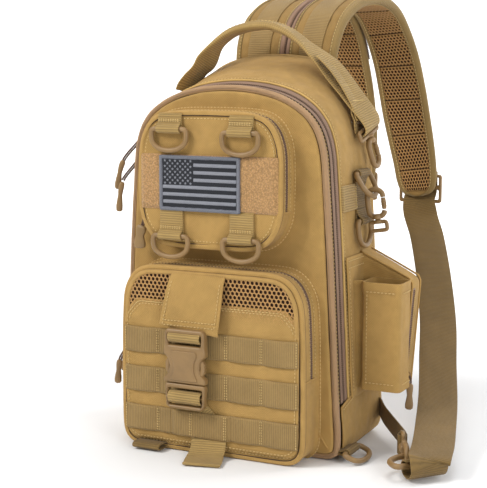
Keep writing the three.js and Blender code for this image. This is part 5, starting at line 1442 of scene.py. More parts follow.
wy, we = V(0, 1, 0), V(0, 1, 0.26)
g = Geo()
handle = [
    (lie(-77.5, 66, -2.2), slope(-77, 66), 18, 1.8), (lie(-75.5, 67, 2.8), slope(-76, 66.5), 18.2, 1.8), (lie(-72, 69, 6.8), slope(-72, 69), 18.3, 1.8), (lie(-67, 71.6, 10.5), slope(-67, 72), 17.8, 2.0), (V(-60, 75, 376), V(0.26, 1, 0), 17, 2.8),
    (V(-50, 79, 392), wy, 14.5, 4.8), (V(-36, 83, 403.5), wy, 12.6, 7), (V(-17, 85, 409.5), wy, 11.6, 8.4), (V(6, 85, 410.5), wy, 11.6, 8.4), (V(26, 85.5, 404), wy, 12.6, 7),
    (V(43, 86, 393), wy, 14.8, 4.6), (V(57, 87, 382), V(0.2, 1, 0), 17.6, 2.8), (V(68, 88, 372.5), V(0.32, 1, 0), 18.8, 1.9), (V(79, 88.5, 360), V(0.36, 1, 0), 19), (V(90.5, 89, 346.2), V(0.3, 1, 0), 19),
    (V(100.0, 90, 334.4), V(0.24, 1, 0.05), 19), (V(108.2, 91.6, 324.2), V(0.12, 1, 0.14), 19), (V(112.6, 92.4, 316.6), we, 19), (V(112.9, 93.4, 310.6), we, 19), (V(108.0, 94.2, 307.4), we, 19),
    (V(103.2, 93.6, 309.4), we, 19), (V(101.9, 92.6, 314.8), we, 19), (V(101.6, 92.4, 320.5), we, 18.8), (V(99.8, 92, 326.4), we, 18.6, 1.4), (V(97.4, 91.6, 330.6), wy, 18.2, 1.2),
]
hp, hf = band(g, handle, 1.7, 2.2)
g.build("handle_web", WEB, slot="webbing", replaces=["carry_handle"])
g = Geo()
# seam of the folded grip and its two binding ends
mid = [i for i in range(len(hp)) if -52 < hp[i][0] < 48 and hp[i][2] > 388]
line = np.array([hp[i] + V(0, -hf[i][6] * 0.72, 0) + V(0, 0, hf[i][7] * 0.52) for i in mid])
g.stitches(line, V(0, -0.3, 1), mat=0)
line = np.array([hp[i] + V(0, hf[i][6] * 0.72, 0) + V(0, 0, hf[i][7] * 0.52) for i in mid])
g.stitches(line, V(0, 0.3, 1), mat=0)
for (x0, z0, x1, z1) in ((70, 370.5, 73, 366.8), (86.3, 352.6, 88.4, 349.6), (98.6, 337.6, 100.2, 335.2)):
    for yy in (0,):
        path = np.array([V((x0 + x1) / 2 + 1.3, y, (z0 + z1) / 2 + 0.9) for y in np.linspace(72, 106, 18)])
        g.stitches(path, V(0.8, 0, 0.6), pitch=2.4, length=1.8, mat=0, lift=0.3)
g.build("handle_stitches", STITCH)
g = Geo()
band(g, [(V(62, 74, 380.5), V(0.1, 1, 0), 7.4), (V(72, 76, 370.4), wy, 8.4), (V(81, 78, 359.4), wy, 8.8), (V(89, 79, 347.6), wy, 9), (V(95.2, 80.5, 336.6), wy, 9), (V(99.4, 82, 327.4), wy, 9), (V(101.4, 82.6, 319.4), wy, 9), (V(102.2, 82.8, 318.4), wy, 8.8, 2.6)], 1.5, 1.8)
for v in range(len(g.v)):
    g.v[v][0] += 1.6
    g.v[v][2] += 1.2
g.build("handle_second_web", WEB, slot="webbing")

# ------------------------------------------------------------------ shoulder straps
STRAP_ROWS = [
    (32, -24.5, 126, 358, 27, 7), (32.5, -25, 127.5, 379, 27.5, 8), (33.5, -25, 135, 400, 28, 9), (36, -22.5, 151, 420, 28, 10), (39, -19.5, 179, 434, 28, 10),
    (42, -16.5, 212, 440, 28, 10), (45, -12.5, 246, 439, 27.5, 10), (48, -8.5, 278, 428, 27, 10), (51.5, -6.5, 303, 404, 27, 10), (55.5, -6.5, 320, 375, 27.5, 10),
    (57.5, -6.5, 335, 343, 28, 10), (60, -6.5, 345, 312, 28, 10), (63.5, -6.5, 353, 282, 27, 9.5), (67, -7, 356.5, 258, 25.5, 9), (70.5, -8, 357, 232, 23.5, 8), (72, -8.5, 356.5, 217, 19, 5),
]


class Strap:
    def __init__(self, key):
        rows = np.array([[r[0] if key == "right" else r[1], r[2], r[3], r[4], r[5]] for r in STRAP_ROWS], float)
        self.f = resample(smooth(rows, 10), step=2.0)
        self.p = self.f[:, :3]
        t = np.gradient(self.p, axis=0)
        self.t = t / np.linalg.norm(t, axis=1)[:, None]
        w = np.tile(V(1, 0, 0), (len(t), 1))
        w = w - self.t * np.einsum("ij,ij->i", w, self.t)[:, None]
        self.w = w / np.linalg.norm(w, axis=1)[:, None]
        self.n = np.cross(self.w, self.t)
        self.s = lengths(self.p)

    def at(self, s, arr):
        return np.array([np.interp(s, self.s, arr[:, k]) for k in range(arr.shape[1])]) if arr.ndim == 2 else float(np.interp(s, self.s, arr))

    def place(self, s, c, h):
        return self.at(s, self.p) + self.at(s, self.w) * c + self.at(s, self.n) * h

    def half(self, s):
        h = self.at(s, self.f[:, 3])
        end = self.s[-1] - s
        if end < 20:
            h = min(h, 6 + 17.5 * math.sqrt(max(0, 1 - (1 - end / 20) ** 2)))
        return h

    def thick(self, s):
        return self.at(s, self.f[:, 4])


QUILT = 43.0


def quilt(s, first=18.0):
    """0 on a seam, 1 between seams."""
    ph = ((s - first) % QUILT) / QUILT
    return min(1.0, (min(ph, 1 - ph) * QUILT / 7.0) ** 0.6)


for tag in ("right", "left"):
    S = Strap(tag)
    total = S.s[-1]
    ss = np.linspace(0, total, 190)
    g = Geo()
    P, U = [], []
    for s in ss:
        h, th = S.half(s), S.thick(s) / 2
        k = quilt(s)
        up = th * (0.86 + 0.14 * k)
        dn = th * (0.66 + 0.1 * k)
        prof = [(-h, 0.5), (-h + 0.8, up * 0.62), (-h + 4, up * 0.88), (-h * 0.55, up), (0, up * 1.02), (h * 0.55, up), (h - 4, up * 0.88), (h - 0.8, up * 0.62), (h, 0.5), (h, -1.2), (h - 0.8, -dn * 0.75), (h - 3, -dn * 0.96), (h * 0.5, -dn), (0, -dn), (-h * 0.5, -dn), (-h + 3, -dn * 0.96), (-h + 0.8, -dn * 0.75), (-h, -1.2), (-h, 0.5)]
        P.append([S.place(s, c, b) for c, b in prof])
        U.append([(c if i < 9 else -c + 90, s) for i, (c, b) in enumerate(prof)])
    P, U = np.array(P), np.array(U)
    g.grid(P, U, 0)
    g.poly(list(P[0][:-1]), 0)
    g.poly(list(P[-1][:-1][::-1]), 0)
    pad = g.build(f"strap_pad_{tag}", CLOTH_DARK, replaces=[f"strap_{tag}"])
    # net under the strap
    g = Geo()
    nu, nv = 11, int(total / 4.0)

    def surf(u, v, S=S, nv=nv, nu=nu, total=total):
        s = v / nv * (total - 9) + 2
        h = S.half(s) - 5.2
        c = -h + 2 * h * u / nu
        k = quilt(s)
        edge_k = min(1.0, (h - abs(c)) / 6.0)
        th = S.thick(s) / 2
        return S.place(s, c, -th * 0.72 - 1.35 * k * (0.5 + 0.5 * edge_k) - 0.2), -S.at(s, S.n)

    net(g, surf, nu, nv, depth=1.0, hole=0.8, thread=0.5)
    g.build(f"strap_net_{tag}", [NET, NET_SHADE], slot="mesh", outward=False)
    # quilting seams across the net: dark tubes in the net's shade material, painted shade along the seam valleys
    g = Geo()
    q = 18.0
    while q < total - 12:
        h = S.half(q) - 4.5
        g.tube(np.array([S.place(q, c, -S.thick(q) / 2 * 0.72 - 0.25) for c in np.linspace(-h, h, 12)]), 0.9, 6, mat=0)
        q += QUILT
    g.build(f"strap_seams_{tag}", NET_SHADE, slot="mesh")
    # binding along both edges and round the end
    g = Geo()
    left = [(s, -1) for s in np.linspace(0, total, 120)]
    right = [(s, 1) for s in np.linspace(total, 0, 120)]
    rim = [(s, sg * S.half(s)) for s, sg in left] + [(s, sg * S.half(s)) for s, sg in right]
    P, U = [], []
    run = 0.0
    prev = None
    for s, c in rim:
        sg = 1 if c > 0 else -1
        th = S.thick(s) / 2
        inn = sg * max(0.0, abs(c) - 6.6)
        inn2 = sg * max(0.0, abs(c) - 3)
        prof = [(inn, th * 0.93 - 0.2), (inn, th * 0.93 + 0.45), (inn2, th * 0.86 + 0.6), (c - sg * 0.4, th * 0.55), (c + sg * 0.7, 0), (c + sg * 0.5, -th * 0.45), (c - sg * 0.6, -th * 0.76 - 0.3), (inn2, -th * 0.82 - 1.0), (inn, -th * 0.76 - 1.25), (inn, -th * 0.76 - 0.4)]
        pt = S.place(s, c, 0)
        if prev is not None:
            run += float(np.linalg.norm(pt - prev))
        prev = pt
        P.append([S.place(s, a, b) for a, b in prof])
        U.append([(sum(1 for _ in range(i)) * 2.2, run) for i in range(len(prof))])
    g.grid(np.array(P), np.array(U), 0)
    g.build(f"strap_binding_{tag}", BINDING, slot="webbing")
    g = Geo()
    for sg in (-1, 1):
        for hh, lift_ in ((1, 1), (-1, -1)):
            pts_, nn_ = [], []
            for s in np.linspace(2, total - 10, 150):
                th = S.thick(s) / 2
                c = sg * (S.half(s) - 5.4)
                pts_.append(S.place(s, c, (th * 0.93 + 0.4) if hh > 0 else (-th * 0.76 - 1.3)))
                nn_.append(S.at(s, S.n) * hh)
            g.stitches(np.array(pts_), np.array(nn_), mat=0)
    # outer face: webbing down the middle
    g.build(f"strap_stitches_{tag}", STITCH)
    g = Geo()
    stn = [(S.place(s, 0, S.thick(s) / 2 * 1.02 + 0.7), S.at(s, S.w), 12.4) for s in np.linspace(6, total - 6, 60)]
    band(g, stn, 1.4, 2.4, per=2)
    g.build(f"strap_web_{tag}", WEB_ROW, slot="webbing")
    # webbing that holds the ladder lock
    g = Geo()
    x = 72.0 if tag == "right" else -8.5
    z_end = 240.5
    band(g, [(V(x, 360.6, 252), V(1, 0, 0), 19), (V(x, 361.2, 244), V(1, 0, 0), 20), (V(x, 362.2, 238.2), V(1, 0, 0), 21), (V(x, 366, 236.4), V(1, 0, 0), 19.3), (V(x, 369.0, 234.8), V(1, 0, 0), 19.3)], 1.5, 1.4)
    g.build(f"lock_web_{tag}", WEB_OLIVE, slot="webbing")
    # ring loops
    for nm, row in (("upper", 8.55), ("lower", 11.35)):
        pts = np.array([[r[0] if tag == "right" else r[1], r[2], r[3]] for r in STRAP_ROWS], float)
        i = int(row)
        f = row - i
        p0 = pts[i] * (1 - f) + pts[i + 1] * f
        tt = unit(pts[i + 1] - pts[i])
        ww = unit(V(1, 0, 0) - tt * tt[0])
        nn = np.cross(ww, tt)
        if nn[1] + nn[2] < 0:
            nn = -nn
        th = STRAP_ROWS[i][5] * (1 - f) + STRAP_ROWS[i + 1][5] * f
        c = p0 + nn * (th / 2 + SEAT)
        ring_piece(f"ring_{tag}_strap_{nm}", c, ww, tt, 30, 24)
        loop_web(f"web_{tag}_{nm}", c, ww, tt, nn, 25, 13, [])
    # zip along the edge that faces the other strap
    g = Geo()
    sgn = -1 if tag == "right" else 1
    s_zip = np.linspace(20, total * 0.62, 110)
    for off, hh in ((7.2, 0), (0, 0)):
        pass
    lineP = np.array([S.place(s, sgn * (S.half(s) + 0.9), S.thick(s) / 2 * 0.5 + 0.4) for s in s_zip])
    tapeA = np.array([S.place(s, sgn * (S.half(s) - 4.2), S.thick(s) / 2 * 0.93 + 1.0) for s in s_zip])
    tapeM = np.array([S.place(s, sgn * (S.half(s) - 1.4), S.thick(s) / 2 * 0.8 + 0.9) for s in s_zip])
    tape_low = np.array([S.place(s, sgn * (S.half(s) - 1.0), S.thick(s) / 2 * 0.4) for s in s_zip])
    g.grid(np.stack([tapeA, tapeM, lineP]), None, 0)
    g.grid(np.stack([tapeA - S.n[0] * 0, tape_low, lineP]), None, 0)
    g.build(f"strap_zip_tape_{tag}", TAPE, slot="zip_tape")
    g = Geo()
    wdir = np.array([S.at(s, S.w) for s in s_zip])
    ndir = np.array([S.at(s, S.n) for s in s_zip])
    coil_row(g, lineP, wdir, ndir, pitch=2.0, w=0.6, h=0.9)
    g.build(f"strap_zip_coil_{tag}", COIL, slot="zip_tape")

# ---- anchor panel where the straps leave the back
g = Geo()
xs = np.linspace(-58, 66, 40)
P = []
for x in xs:
    col = []
    for zz, yy in ((330, 120.9), (338, 122.4), (348, 124.4), (358, 127.6), (366, 130.4)):
        top = top_z(x, 118) - 4
        z = min(zz, top + (zz - 330) * 0.2)
        col.append(V(x, yy + 0.6 * ripple((x, yy, z), 0.04, 3), z))
    P.append(col)
P = np.array(P)
g.grid(P, None, 0)
Q = P.copy()
Q[:, :, 1] += 1.4
g.grid(Q, None, 0)
for a, b in ((P[0], Q[0]), (P[-1], Q[-1])):
    g.grid(np.stack([a, b]), None, 0)
for e in (0, -1):
    g.grid(np.stack([P[:, e], Q[:, e]]), None, 0)
g.build("strap_anchor", CLOTH)

# ------------------------------------------------------------------ sleeve
g = Geo()
SX0, SX1, SY0, SY1, SZ0, SZ1 = 123.0, 163.0, 42.0, 74.0, 62.0, 167.0
sect = rounded([(SX0, SY0), (SX1, SY0), (SX1, SY1), (SX0, SY1)], 5.5, 5)
sc = sect.mean(0)
zs = np.concatenate([[SZ0, SZ0 + 0.6, SZ0 + 8, SZ0 + 8.8], np.linspace(SZ0 + 12, SZ1 - 14, 22), [SZ1 - 10.6, SZ1 - 9.8, SZ1 - 0.6, SZ1]])
outer, inner = [], []
for i, z in enumerate(zs):
    hem = 0.55 if (z < SZ0 + 8.4 or z > SZ1 - 10.2) else 0.0
    tt_ = (z - SZ0) / (SZ1 - SZ0)
    pinch = -0.8 * math.sin(math.pi * tt_)
    row, rin = [], []
    for q in wrap(sect):
        dirn = (q - sc) / np.linalg.norm(q - sc)
        off = hem + pinch * 0.8 + 0.9 * ripple((q[0], q[1], z), 0.022, 12)
        o = q + dirn * off
        n_ = q - dirn * 1.6
        row.append(V(o[0], o[1], z))
        rin.append(V(n_[0], n_[1], z))
    outer.append(row)
    inner.append(rin)
outer, inner = np.array(outer), np.array(inner)
arc = lengths(wrap(sect).tolist())
U = np.stack(np.meshgrid(zs, arc, indexing="ij"), axis=2)
g.grid(outer, U, 0)
g.grid(inner, U, 0)
g.grid(np.stack([outer[0], inner[0]]), None, 0)
g.grid(np.stack([outer[-1], inner[-1]]), None, 0)
g.build("sleeve_skin", CLOTH, replaces=["side_sleeve"])
g = Geo()
for z in (SZ1 - 9.0, SZ0 + 7.4):
    g.stitches(np.array([V(x, SY0 - 0.9, z) for x in np.linspace(SX0 + 5, SX1 - 5, 20)]), V(0, -1, 0), mat=0)
    g.stitches(np.array([V(SX1 + 0.9, y, z) for y in np.linspace(SY0 + 5, SY1 - 5, 14)]), V(1, 0, 0), mat=0)
for x in (SX0 + 6.5,):
    g.stitches(np.array([V(x, SY0 - 0.15 - 0.4, z) for z in np.linspace(SZ0 + 9, SZ1 - 11, 40)]), V(0, -1, 0), mat=0)
g.build("sleeve_stitches", STITCH)
# flange that sews the sleeve to the side
g = Geo()
P = []
for z in np.linspace(SZ0, SZ1, 30):
    x0 = side_x(46, z) + 0.9
    P.append([V(x0, 40, z), V(x0 + 0.7, 46.5, z), V((x0 + SX0) / 2, 49, z), V(SX0 + 0.4, 50, z)])
P = np.array(P)
Q = P.copy()
Q[:, :, 1] += 1.3
Q[:, :, 0] += 0.3
g.grid(P, None, 0)
g.grid(Q, None, 0)
for a, b in ((P[0], Q[0]), (P[-1], Q[-1])):
    g.grid(np.stack([a, b]), None, 0)
for e in (0, -1):
    g.grid(np.stack([P[:, e], Q[:, e]]), None, 0)
g.build("sleeve_flange", CLOTH)

# ------------------------------------------------------------------ side pouch
g = Geo()


def pouch_section(t, k=0.0):
    z_top = 191 * (1 - t) + 166 * t - k * 1.2
    z_low = 57 - 4 * (1 - t) + k
    y0 = 74.9 + k
    y1 = 99 - k + (1 - t) * 5
    loop = rounded([(y0, z_low), (y1, z_low), (y1, z_top), (y0, z_top)], 5.5, 5)
    out = []
    for y, z in loop:
        x0 = side_x(y, z) + 0.55
        belly = 2.2 * math.sin(math.pi * (z - 53) / 130) * math.sin(math.pi * min(1, t))
        out.append(V(x0 + (162 + (z - 140) * 0.08 - x0) * t + belly * 0.4, y + 0.7 * ripple((t * 40, y, z), 0.03, 15), z))
    return np.array(out)


rows = [pouch_section(t, k) for t, k in ((0, -1.2), (0.01, -0.2), (0.1, 0), (0.25, 0), (0.4, 0.1), (0.55, 0.1), (0.7, 0), (0.82, 0), (0.9, 0.2), (0.95, 0.8), (0.98, 1.8), (0.995, 3.2), (1.0, 5.0))]
last = rows[-1]
cen = last.mean(0)
for f in (0.85, 0.65, 0.45, 0.25, 0.1, 0.0):
    r = cen + (last - cen) * f
    r[:, 0] += 0.5 * (1 - f)
    rows.append(r)
skin("pouch_skin", rows, CLOTH, 17.0, 0.7, 0.03, 1.5, "cloth", ["side_pouch"], hold_rows=1, keep_floor=False)
# seams of the pouch and its upright zip; the pull at its foot is made with the other zip pulls
def pouch_x(z):
    return 162 + (z - 140) * 0.08


g = Geo()
for y, grow in ((75.2, 0.4), (99.6, 0.6)):
    line = []
    for t in np.linspace(0.0, 0.93, 16):
        z_top = 191 * (1 - t) + 166 * t
        x0 = side_x(y, z_top) + 0.55
        line.append(V(x0 + (pouch_x(z_top) - x0) * t, y + (0 if y < 80 else (1 - t) * 4.2), z_top + 0.1))
    line += [V(pouch_x(164) - 1.0, y, 163.4)] + [V(pouch_x(z) - 0.5, y - (0.4 if y > 80 else -0.2), z) for z in np.linspace(158, 62, 20)]
    g.tube(np.array(line), 1.0, 8, mat=0)
g.build("pouch_seams", CLOTH_FOLD)
g = Geo()
chain = np.array([V(pouch_x(z) + 0.5, 79.8, z) for z in np.linspace(70, 156, 60)])
coil_row(g, chain, V(0, 1, 0), V(1, 0, 0), pitch=1.8, w=1.2, h=0.8)
for dx in (0.35, -0.3):
    g.grid(np.array([[V(pouch_x(z) + dx, y, z) for z in np.linspace(66, 158, 20)] for y in (76.4, 77.6, 82.0, 83.2)]), None, 1)
g.build("pouch_zip", [COIL, TAPE], slot="zip_tape")

# ---- flat panel in front of the pouch on the side, with a hem at its top
g = Geo()
P = []
for y in np.linspace(34, 77, 16):
    P.append([V(side_x(y, z) + 1.3 + 0.7 * ripple((0, y, z), 0.03, 18), y, z) for z in np.linspace(54, 190, 46)])
P = np.array(P)
Q = P.copy()
Q[:, :, 0] += 1.1
g.grid(P, None, 0)
g.grid(Q, None, 0)
for a, b in ((P[0], Q[0]), (P[-1], Q[-1])):
    g.grid(np.stack([a, b]), None, 0)
for e in (0, -1):
    g.grid(np.stack([P[:, e], Q[:, e]]), None, 0)
g.build("side_panel", CLOTH)
g = Geo()
for z in (186.6, 180.0):
    g.stitches(np.array([V(side_x(y, z) + 2.9, y, z) for y in np.linspace(36, 75, 20)]), V(1, 0, 0), mat=0)
g.stitches(np.array([V(side_x(37, z) + 2.9, 37, z) for z in np.linspace(60, 178, 40)]), V(1, 0, 0), mat=0)
g.build("side_panel_stitches", STITCH)

# ------------------------------------------------------------------ mesh pocket on the left
MESH_ROWS = [(52, 0.8), (60, 5), (85, 10), (130, 13.5), (180, 14.5), (222, 13)]
ACROSS = [31.5, 38, 50, 66, 84, 102, 112, 117.0]
SHAPE = [0, 0.35, 0.66, 0.88, 1, 0.9, 0.55, 0]


def mesh_point(u, v, extra=0.0):
    z = 52 + 170 * v
    y = 31.5 + 85.5 * u
    b = float(np.interp(z, [r[0] for r in MESH_ROWS], [r[1] for r in MESH_ROWS]))
    sh_ = float(np.interp(y, ACROSS, SHAPE))
    top_dip = -6 * math.sin(math.pi * u) * v ** 4
    return V(-(side_x(min(y, 116), z) + 0.9 + b * sh_ + extra + 0.5 * ripple((0, y, z), 0.03, 30)), y, z + top_dip)


g = Geo()
NU2, NV2 = 22, 42


def mesh_surf(u, v):
    a, b = u / NU2, v / NV2
    p = mesh_point(a, b)
    q = mesh_point(min(1, a + 0.02), b) - mesh_point(max(0, a - 0.02), b)
    r = mesh_point(a, min(1, b + 0.02)) - mesh_point(a, max(0, b - 0.02))
    n_ = unit(np.cross(q, r))
    if n_[0] > 0:
        n_ = -n_
    return p, n_


net(g, mesh_surf, NU2, NV2, depth=0.5, hole=0.68, thread=0.25, back=1)
g.build("mesh_pocket_net", [NET_BROWN, NET_SHADE], slot="mesh", replaces=["mesh_pocket"], outward=False)
g = Geo()
rim = [mesh_point(u, 1.0, 0.3) for u in np.linspace(0, 1, 40)]
band(g, [(p + V(0, 0, 0.2), V(0, 0, 1), 8.5) for p in rim[::3] + [rim[-1]]], 2.0, 2.0)
for e in (0.0, 1.0):
    col = [mesh_point(e, v, 0.2) for v in np.linspace(0, 1, 24)]
    g.tube(np.array(col), 1.3, 8, mat=0)
foot = [mesh_point(u, 0.0, 0.2) for u in np.linspace(0, 1, 20)]
g.tube(np.array(foot), 1.3, 8, mat=0)
g.build("mesh_pocket_binding", BINDING, slot="webbing")

# ------------------------------------------------------------------ back pad
PAD = [(0, 7), (84, 7), (92, 12), (95, 24), (95, 100), (94, 160), (92, 184), (84, 196), (66, 205), (40, 211), (0, 214)]
pad_half = smooth(np.array(PAD, float), 6)
pad_out = mirrored(pad_half)
pmid = V(0, 0, 110.5)


def pad_width(z):
    h = pad_half
    k = np.argmax(h[:, 0])
    lo = np.interp(z, h[: k + 1, 1], h[: k + 1, 0]) if z < h[k, 1] else np.interp(z, h[k:, 1], h[k:, 0])
    return float(lo)


g = Geo()
rings = []
for f, y in ((0.985, 120.35), (1.0, 119.4), (1.0, 124.0), (0.985, 125.6), (0.95, 126.4), (0.8, 126.7), (0.5, 126.8), (0.0, 126.8)):
    rings.append(wrap(np.stack([pad_out[:, 0] * f, np.full(len(pad_out), y), 110.5 + (pad_out[:, 1] - 110.5) * f], axis=1)))
P = np.array(rings)
g.grid(P, None, 0)
g.poly(list(P[0][:-1]), 0)
pad = g.build("back_pad_core", CLOTH_DARK, replaces=["back_pad"])
g = Geo()
NU3, NV3 = 38, 46


def channel(x, z):
    d = min(abs(x), abs(abs(x) - 46), 40)
    k = min(1, (d / 5.0) ** 0.7)
    zz = min(abs(z - 58), abs(z - 112), abs(z - 166))
    return min(k, min(1, (zz / 5.0) ** 0.7))


def pad_surf(u, v):
    z = 12 + (206 - 12) * v / NV3
    w_ = max(6, pad_width(z) - 6)
    x = -w_ + 2 * w_ * u / NU3
    e = min(1.0, (w_ - abs(x)) / 6, (z - 8) / 8, (212 - z) / 8)
    return V(x, 126.3 + 1.7 * channel(x, z) * max(0.2, e) + 0.3 * e, z), V(0, 1, 0)


net(g, pad_surf, NU3, NV3, depth=0.8, hole=0.68, thread=0.4)
g.build("back_pad_net", [NET_BROWN, NET_SHADE], slot="mesh", outward=False)
g = Geo()
f = 0.965
line = np.stack([pad_out[:, 0] * f, np.full(len(pad_out), 126.2), 110.5 + (pad_out[:, 1] - 110.5) * f], axis=1)
g.tube(line, 2.6, 10, closed=True, mat=0, squash=1.0)
g.build("back_pad_binding", BINDING, slot="webbing")
g = Geo()
# sewn panel lines on the plain upper back
arcb = np.array([V(x, 120.5, 222 + 92 * (1 - (x / 84.0) ** 2) ** 0.5 if abs(x) < 84 else 222) for x in np.linspace(-83, 83, 60)])
g.stitches(arcb, V(0, 1, 0), mat=0)
g.stitches(np.array([V(x, 120.45, 219) for x in np.linspace(-92, 92, 60)]), V(0, 1, 0), mat=0)
g.build("back_stitches", STITCH)
g = Geo()
rearline = body_ring(118.9, 2.8)
g.tube(rearline[::2], 1.3, 8, closed=True, mat=0)
P = np.array(g.v)
P[:, 2] = np.maximum(P[:, 2], 0.05)
g.v = P.tolist()
g.build("back_piping", CLOTH_FOLD)


# ------------------------------------------------------------------ zip pulls
def pull(tag, node, slider_at, slider_dir, slider_out, route, tip_from, wide, thin_axis, mats=HARD):
    """Slider body, doubled cord and a waisted moulded end along the route."""
    so, sd = unit(slider_out), unit(slider_dir)
    sw = np.cross(so, sd)
    g = Geo()
    for a, b, hh in ((-4.6, 4.6, 1.3),):
        prof = [(-4.6, 1.4), (-3.2, 3.0), (0, 3.7), (2.4, 3.0), (4.8, 2.1), (5.4, 1.0)]
        rows = []
        for s, w_ in prof:
            c = slider_at + sd * s
            rows.append([c + sw * w_ * math.cos(q) + so * (1.5 * math.sin(q) + 0.4) for q in np.linspace(0, 2 * math.pi, 13)])
        g.grid(np.array(rows), None, 0)
        g.poly(rows[0][:-1], 0, [(0, 0)] * 12)
        g.poly(rows[-1][:-1][::-1], 0, [(0, 0)] * 12)
    bridge = smooth(np.array([slider_at + sd * -2.4 + so * 1.4, slider_at + sd * -1.6 + so * 3.6, slider_at + sd * 1.6 + so * 3.8, slider_at + sd * 2.8 + so * 1.4]), 5)
    g.tube(bridge, 0.8, 8, mat=0)
    path = resample(smooth(np.array(route), 8), step=1.5)
    s = lengths(path)
    cord_end = s[-1] * tip_from
    keep = path[s <= cord_end]
    side = unit(thin_axis)
    for off in (-1.0, 1.0):
        t_ = np.gradient(keep, axis=0)
        lat = np.array([unit(np.cross(unit(a), side)) for a in t_])
        squeeze = np.array([min(1.0, 0.25 + 3 * i / len(keep)) for i in range(len(keep))])
        g.tube(keep + lat * off * squeeze[:, None], 0.95, 8, mat=1)
    tip = path[s >= cord_end - 1]
    st_ = lengths(tip)
    n = len(tip)
    rows = []
    for i in range(n):
        k = st_[i] / st_[-1]
        w_ = np.interp(k, [0, 0.06, 0.2, 0.45, 0.8, 0.95, 1.0], [0.45, 0.8, 0.85, 0.66, 1.0, 0.95, 0.5]) * wide
        d_ = np.interp(k, [0, 0.06, 0.2, 0.45, 0.8, 0.95, 1.0], [0.5, 1.0, 1.0, 0.85, 1.0, 0.9, 0.4]) * 1.9
        t_ = unit(tip[min(n - 1, i + 1)] - tip[max(0, i - 1)])
        lat = unit(np.cross(t_, side))
        dep = np.cross(lat, t_)
        rows.append([tip[i] + lat * w_ * math.copysign(abs(math.cos(q)) ** 0.7, math.cos(q)) + dep * d_ * math.copysign(abs(math.sin(q)) ** 0.7, math.sin(q)) for q in np.linspace(0, 2 * math.pi, 17)])
    g.grid(np.array(rows), None, 0)
    g.poly(rows[0][:-1], 0, [(0, 0)] * 16)
    g.poly(rows[-1][:-1][::-1], 0, [(0, 0)] * 16)
    return g.build(tag, [mats, COIL], slot="moulded", replaces=[node] if node else [])


sx = lambda y, z: side_x(y, z)
pull("pull_main_rear", "main_pull_rear", V(-(sx(20.6, 306) + 0.6), 20.6, 306), V(0.1, 0, -1), V(-1, 0, 0.15), [V(-(sx(20.6, 306) + 3.8), 20.4, 305.5), V(-104.5, 19.4, 300), V(-109.5, 16.6, 293), V(-117, 11.8, 283), V(-121, 9.6, 276), V(-124, 8.2, 266), V(-125.8, 7.4, 254), V(-126, 7.2, 248)], 0.55, 3.4, V(0.5, -1, 0))
pull("pull_main_front", "main_pull_front", V(-(sx(20.6, 287) + 0.6), 20.6, 287), V(0.1, 0, -1), V(-1, 0, 0.15), [V(-(sx(20.6, 287) + 3.8), 20.4, 286.5), V(-106.6, 18.6, 280), V(-110.4, 13.2, 272), V(-116.6, 6.4, 261.4), V(-119, 4.4, 255), V(-120.6, 3.2, 246), V(-121.6, 2.4, 232), V(-121.6, 2.2, 226)], 0.55, 3.4, V(0.5, -1, 0))
pull("pull_upper", "upper_pull", V(-81.0, -11.5, 224), V(0.25, 0, -1), V(-1, 0, -0.2), [V(-84.4, -11.8, 223), V(-85.2, -12.2, 218.5), V(-87, -13, 213), V(-88.6, -13.4, 205), V(-88.8, -13.6, 197), V(-88.8, -13.6, 193)], 0.25, 6.6, V(0, -1, 0), HARD_DARK)
pull("pull_lower", "lower_pull", V(-98.4, -13.5, 101), V(0, 0, -1), V(-1, 0, 0), [V(-101.6, -14, 101), V(-102.6, -15, 95), V(-106.4, -16.4, 88), V(-110.4, -17.2, 81), V(-112, -17.6, 74), V(-113.2, -18, 60), V(-113.2, -18, 55)], 0.5, 3.6, V(0.4, -1, 0))
pull("pull_lower_second", None, V(-98.4, -13.5, 112), V(0, 0, 1), V(-1, 0, 0), [V(-101.4, -14, 112), V(-102.2, -14.4, 107), V(-103.4, -14.6, 100), V(-105.4, -15, 92), V(-106.4, -15.4, 84), V(-107, -15.6, 72), V(-107, -15.6, 68)], 0.5, 3.4, V(0.4, -1, 0))
pull("pull_pouch", None, V(157.2, 79.8, 72), V(0, 0, -1), V(1, 0, 0), [V(160.4, 79.4, 71), V(161.4, 78.2, 66), V(161.8, 76.8, 60), V(162, 76, 50), V(161.8, 75.6, 42), V(161.6, 75.4, 38)], 0.25, 4.0, V(0.3, -1, 0))

# ------------------------------------------------------------------ nodes that keep their own shape: left as imported
for name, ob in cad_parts.items():
    pass

# ------------------------------------------------------------------ floor, light, camera
def stage_floor():
    me = bpy.data.meshes.new("floor")
    rows = []
    for k, (yy, zz) in enumerate([(-3.2, -0.0008), (2.6, -0.0008), (3.4, 0.06), (3.9, 0.35), (4.1, 0.9), (4.15, 3.6)]):
        rows.append((yy, zz))
    vs, fs = [], []
    for yy, zz in rows:
        vs += [(-5, yy, zz), (5, yy, zz)]
    for i in range(len(rows) - 1):
        fs.append([2 * i, 2 * i + 1, 2 * i + 3, 2 * i + 2])
    me.from_pydata(vs, [], fs)
    me.polygons.foreach_set("use_smooth", [True] * len(me.polygons))
    m = Nodes("floor_paper")
    n = m.noise(6, 2)
    m.link(m.mix(m.remap(n, 0.3, 0.7, 0, 1), (0.86, 0.86, 0.86, 1), (0.9, 0.9, 0.9, 1)), m.bsdf.inputs["Base Color"])
    m.set(Roughness=0.75, Specular_IOR_Level=0.2)
    me.materials.append(m.mat)
    ob = bpy.data.objects.new("floor", me)
    bpy.context.scene.collection.objects.link(ob)
    ob.matrix_world = Matrix.Rotation(math.radians(26.4), 4, "Z")


stage_floor()


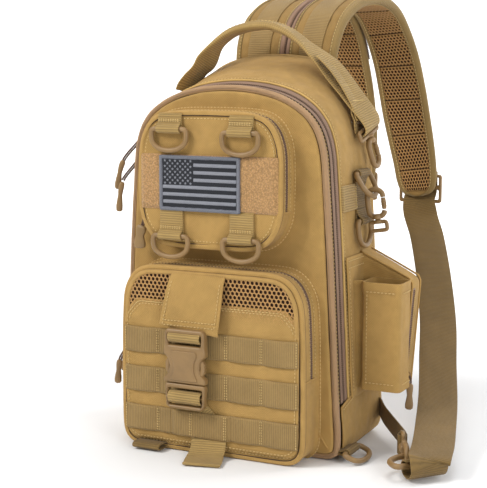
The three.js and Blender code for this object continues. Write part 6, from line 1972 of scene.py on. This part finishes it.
def area(name, loc, target, size, power, colour=(1, 1, 1)):
    li = bpy.data.lights.new(name, "AREA")
    li.shape = "RECTANGLE"
    li.size, li.size_y = size
    li.energy = power
    li.color = colour
    ob = bpy.data.objects.new(name, li)
    bpy.context.scene.collection.objects.link(ob)
    ob.location = loc
    d = Vector(target) - Vector(loc)
    ob.rotation_euler = d.to_track_quat("-Z", "Y").to_euler()


area("key", (-0.95, -1.25, 1.45), (0, 0, 0.2), (0.7, 0.7), 28, (1.0, 0.985, 0.96))
area("fill", (1.5, -0.9, 0.7), (0, 0, 0.2), (1.0, 1.2), 12, (0.98, 0.99, 1.0))
area("top", (0.15, 0.3, 1.7), (0, 0, 0.2), (0.9, 0.9), 9.5)
area("rim", (1.1, 1.1, 0.9), (0.1, 0.1, 0.25), (0.7, 0.9), 9)
area("backdrop", (-0.6, 1.3, 2.4), (-1.5, 3.9, 1.0), (3.0, 1.2), 150)
world = bpy.data.worlds.new("studio")
world.use_nodes = True
bg = world.node_tree.nodes["Background"]
bg.inputs[0].default_value = (0.95, 0.97, 1.0, 1)
bg.inputs[1].default_value = 0.42
bpy.context.scene.world = world
try:
    bpy.context.scene.view_settings.view_transform = "Standard"
    bpy.context.scene.view_settings.look = "None"
except TypeError:
    pass

AZ, EL = math.radians(26.41), math.radians(8.11)
back_v = Vector((math.sin(AZ) * math.cos(EL), -math.cos(AZ) * math.cos(EL), math.sin(EL)))
right_v = Vector((math.cos(AZ), math.sin(AZ), 0))
up_v = back_v.cross(right_v)
cam = bpy.data.cameras.new("photo_view")
cam.sensor_width = 36
cam.sensor_fit = "AUTO"
cam.lens = 1297.5 / 488 * 36
cam.clip_start, cam.clip_end = 0.05, 20
co = bpy.data.objects.new("photo_view", cam)
bpy.context.scene.collection.objects.link(co)
M = Matrix.Identity(4)
for i in range(3):
    M[i][0], M[i][1], M[i][2] = right_v[i], up_v[i], back_v[i]
eye_at = Vector((0.01858, -BASE_MIDDLE / 1000, 0.20218)) + back_v * 1.24279
M[0][3], M[1][3], M[2][3] = eye_at
co.matrix_world = M
bpy.context.scene.camera = co
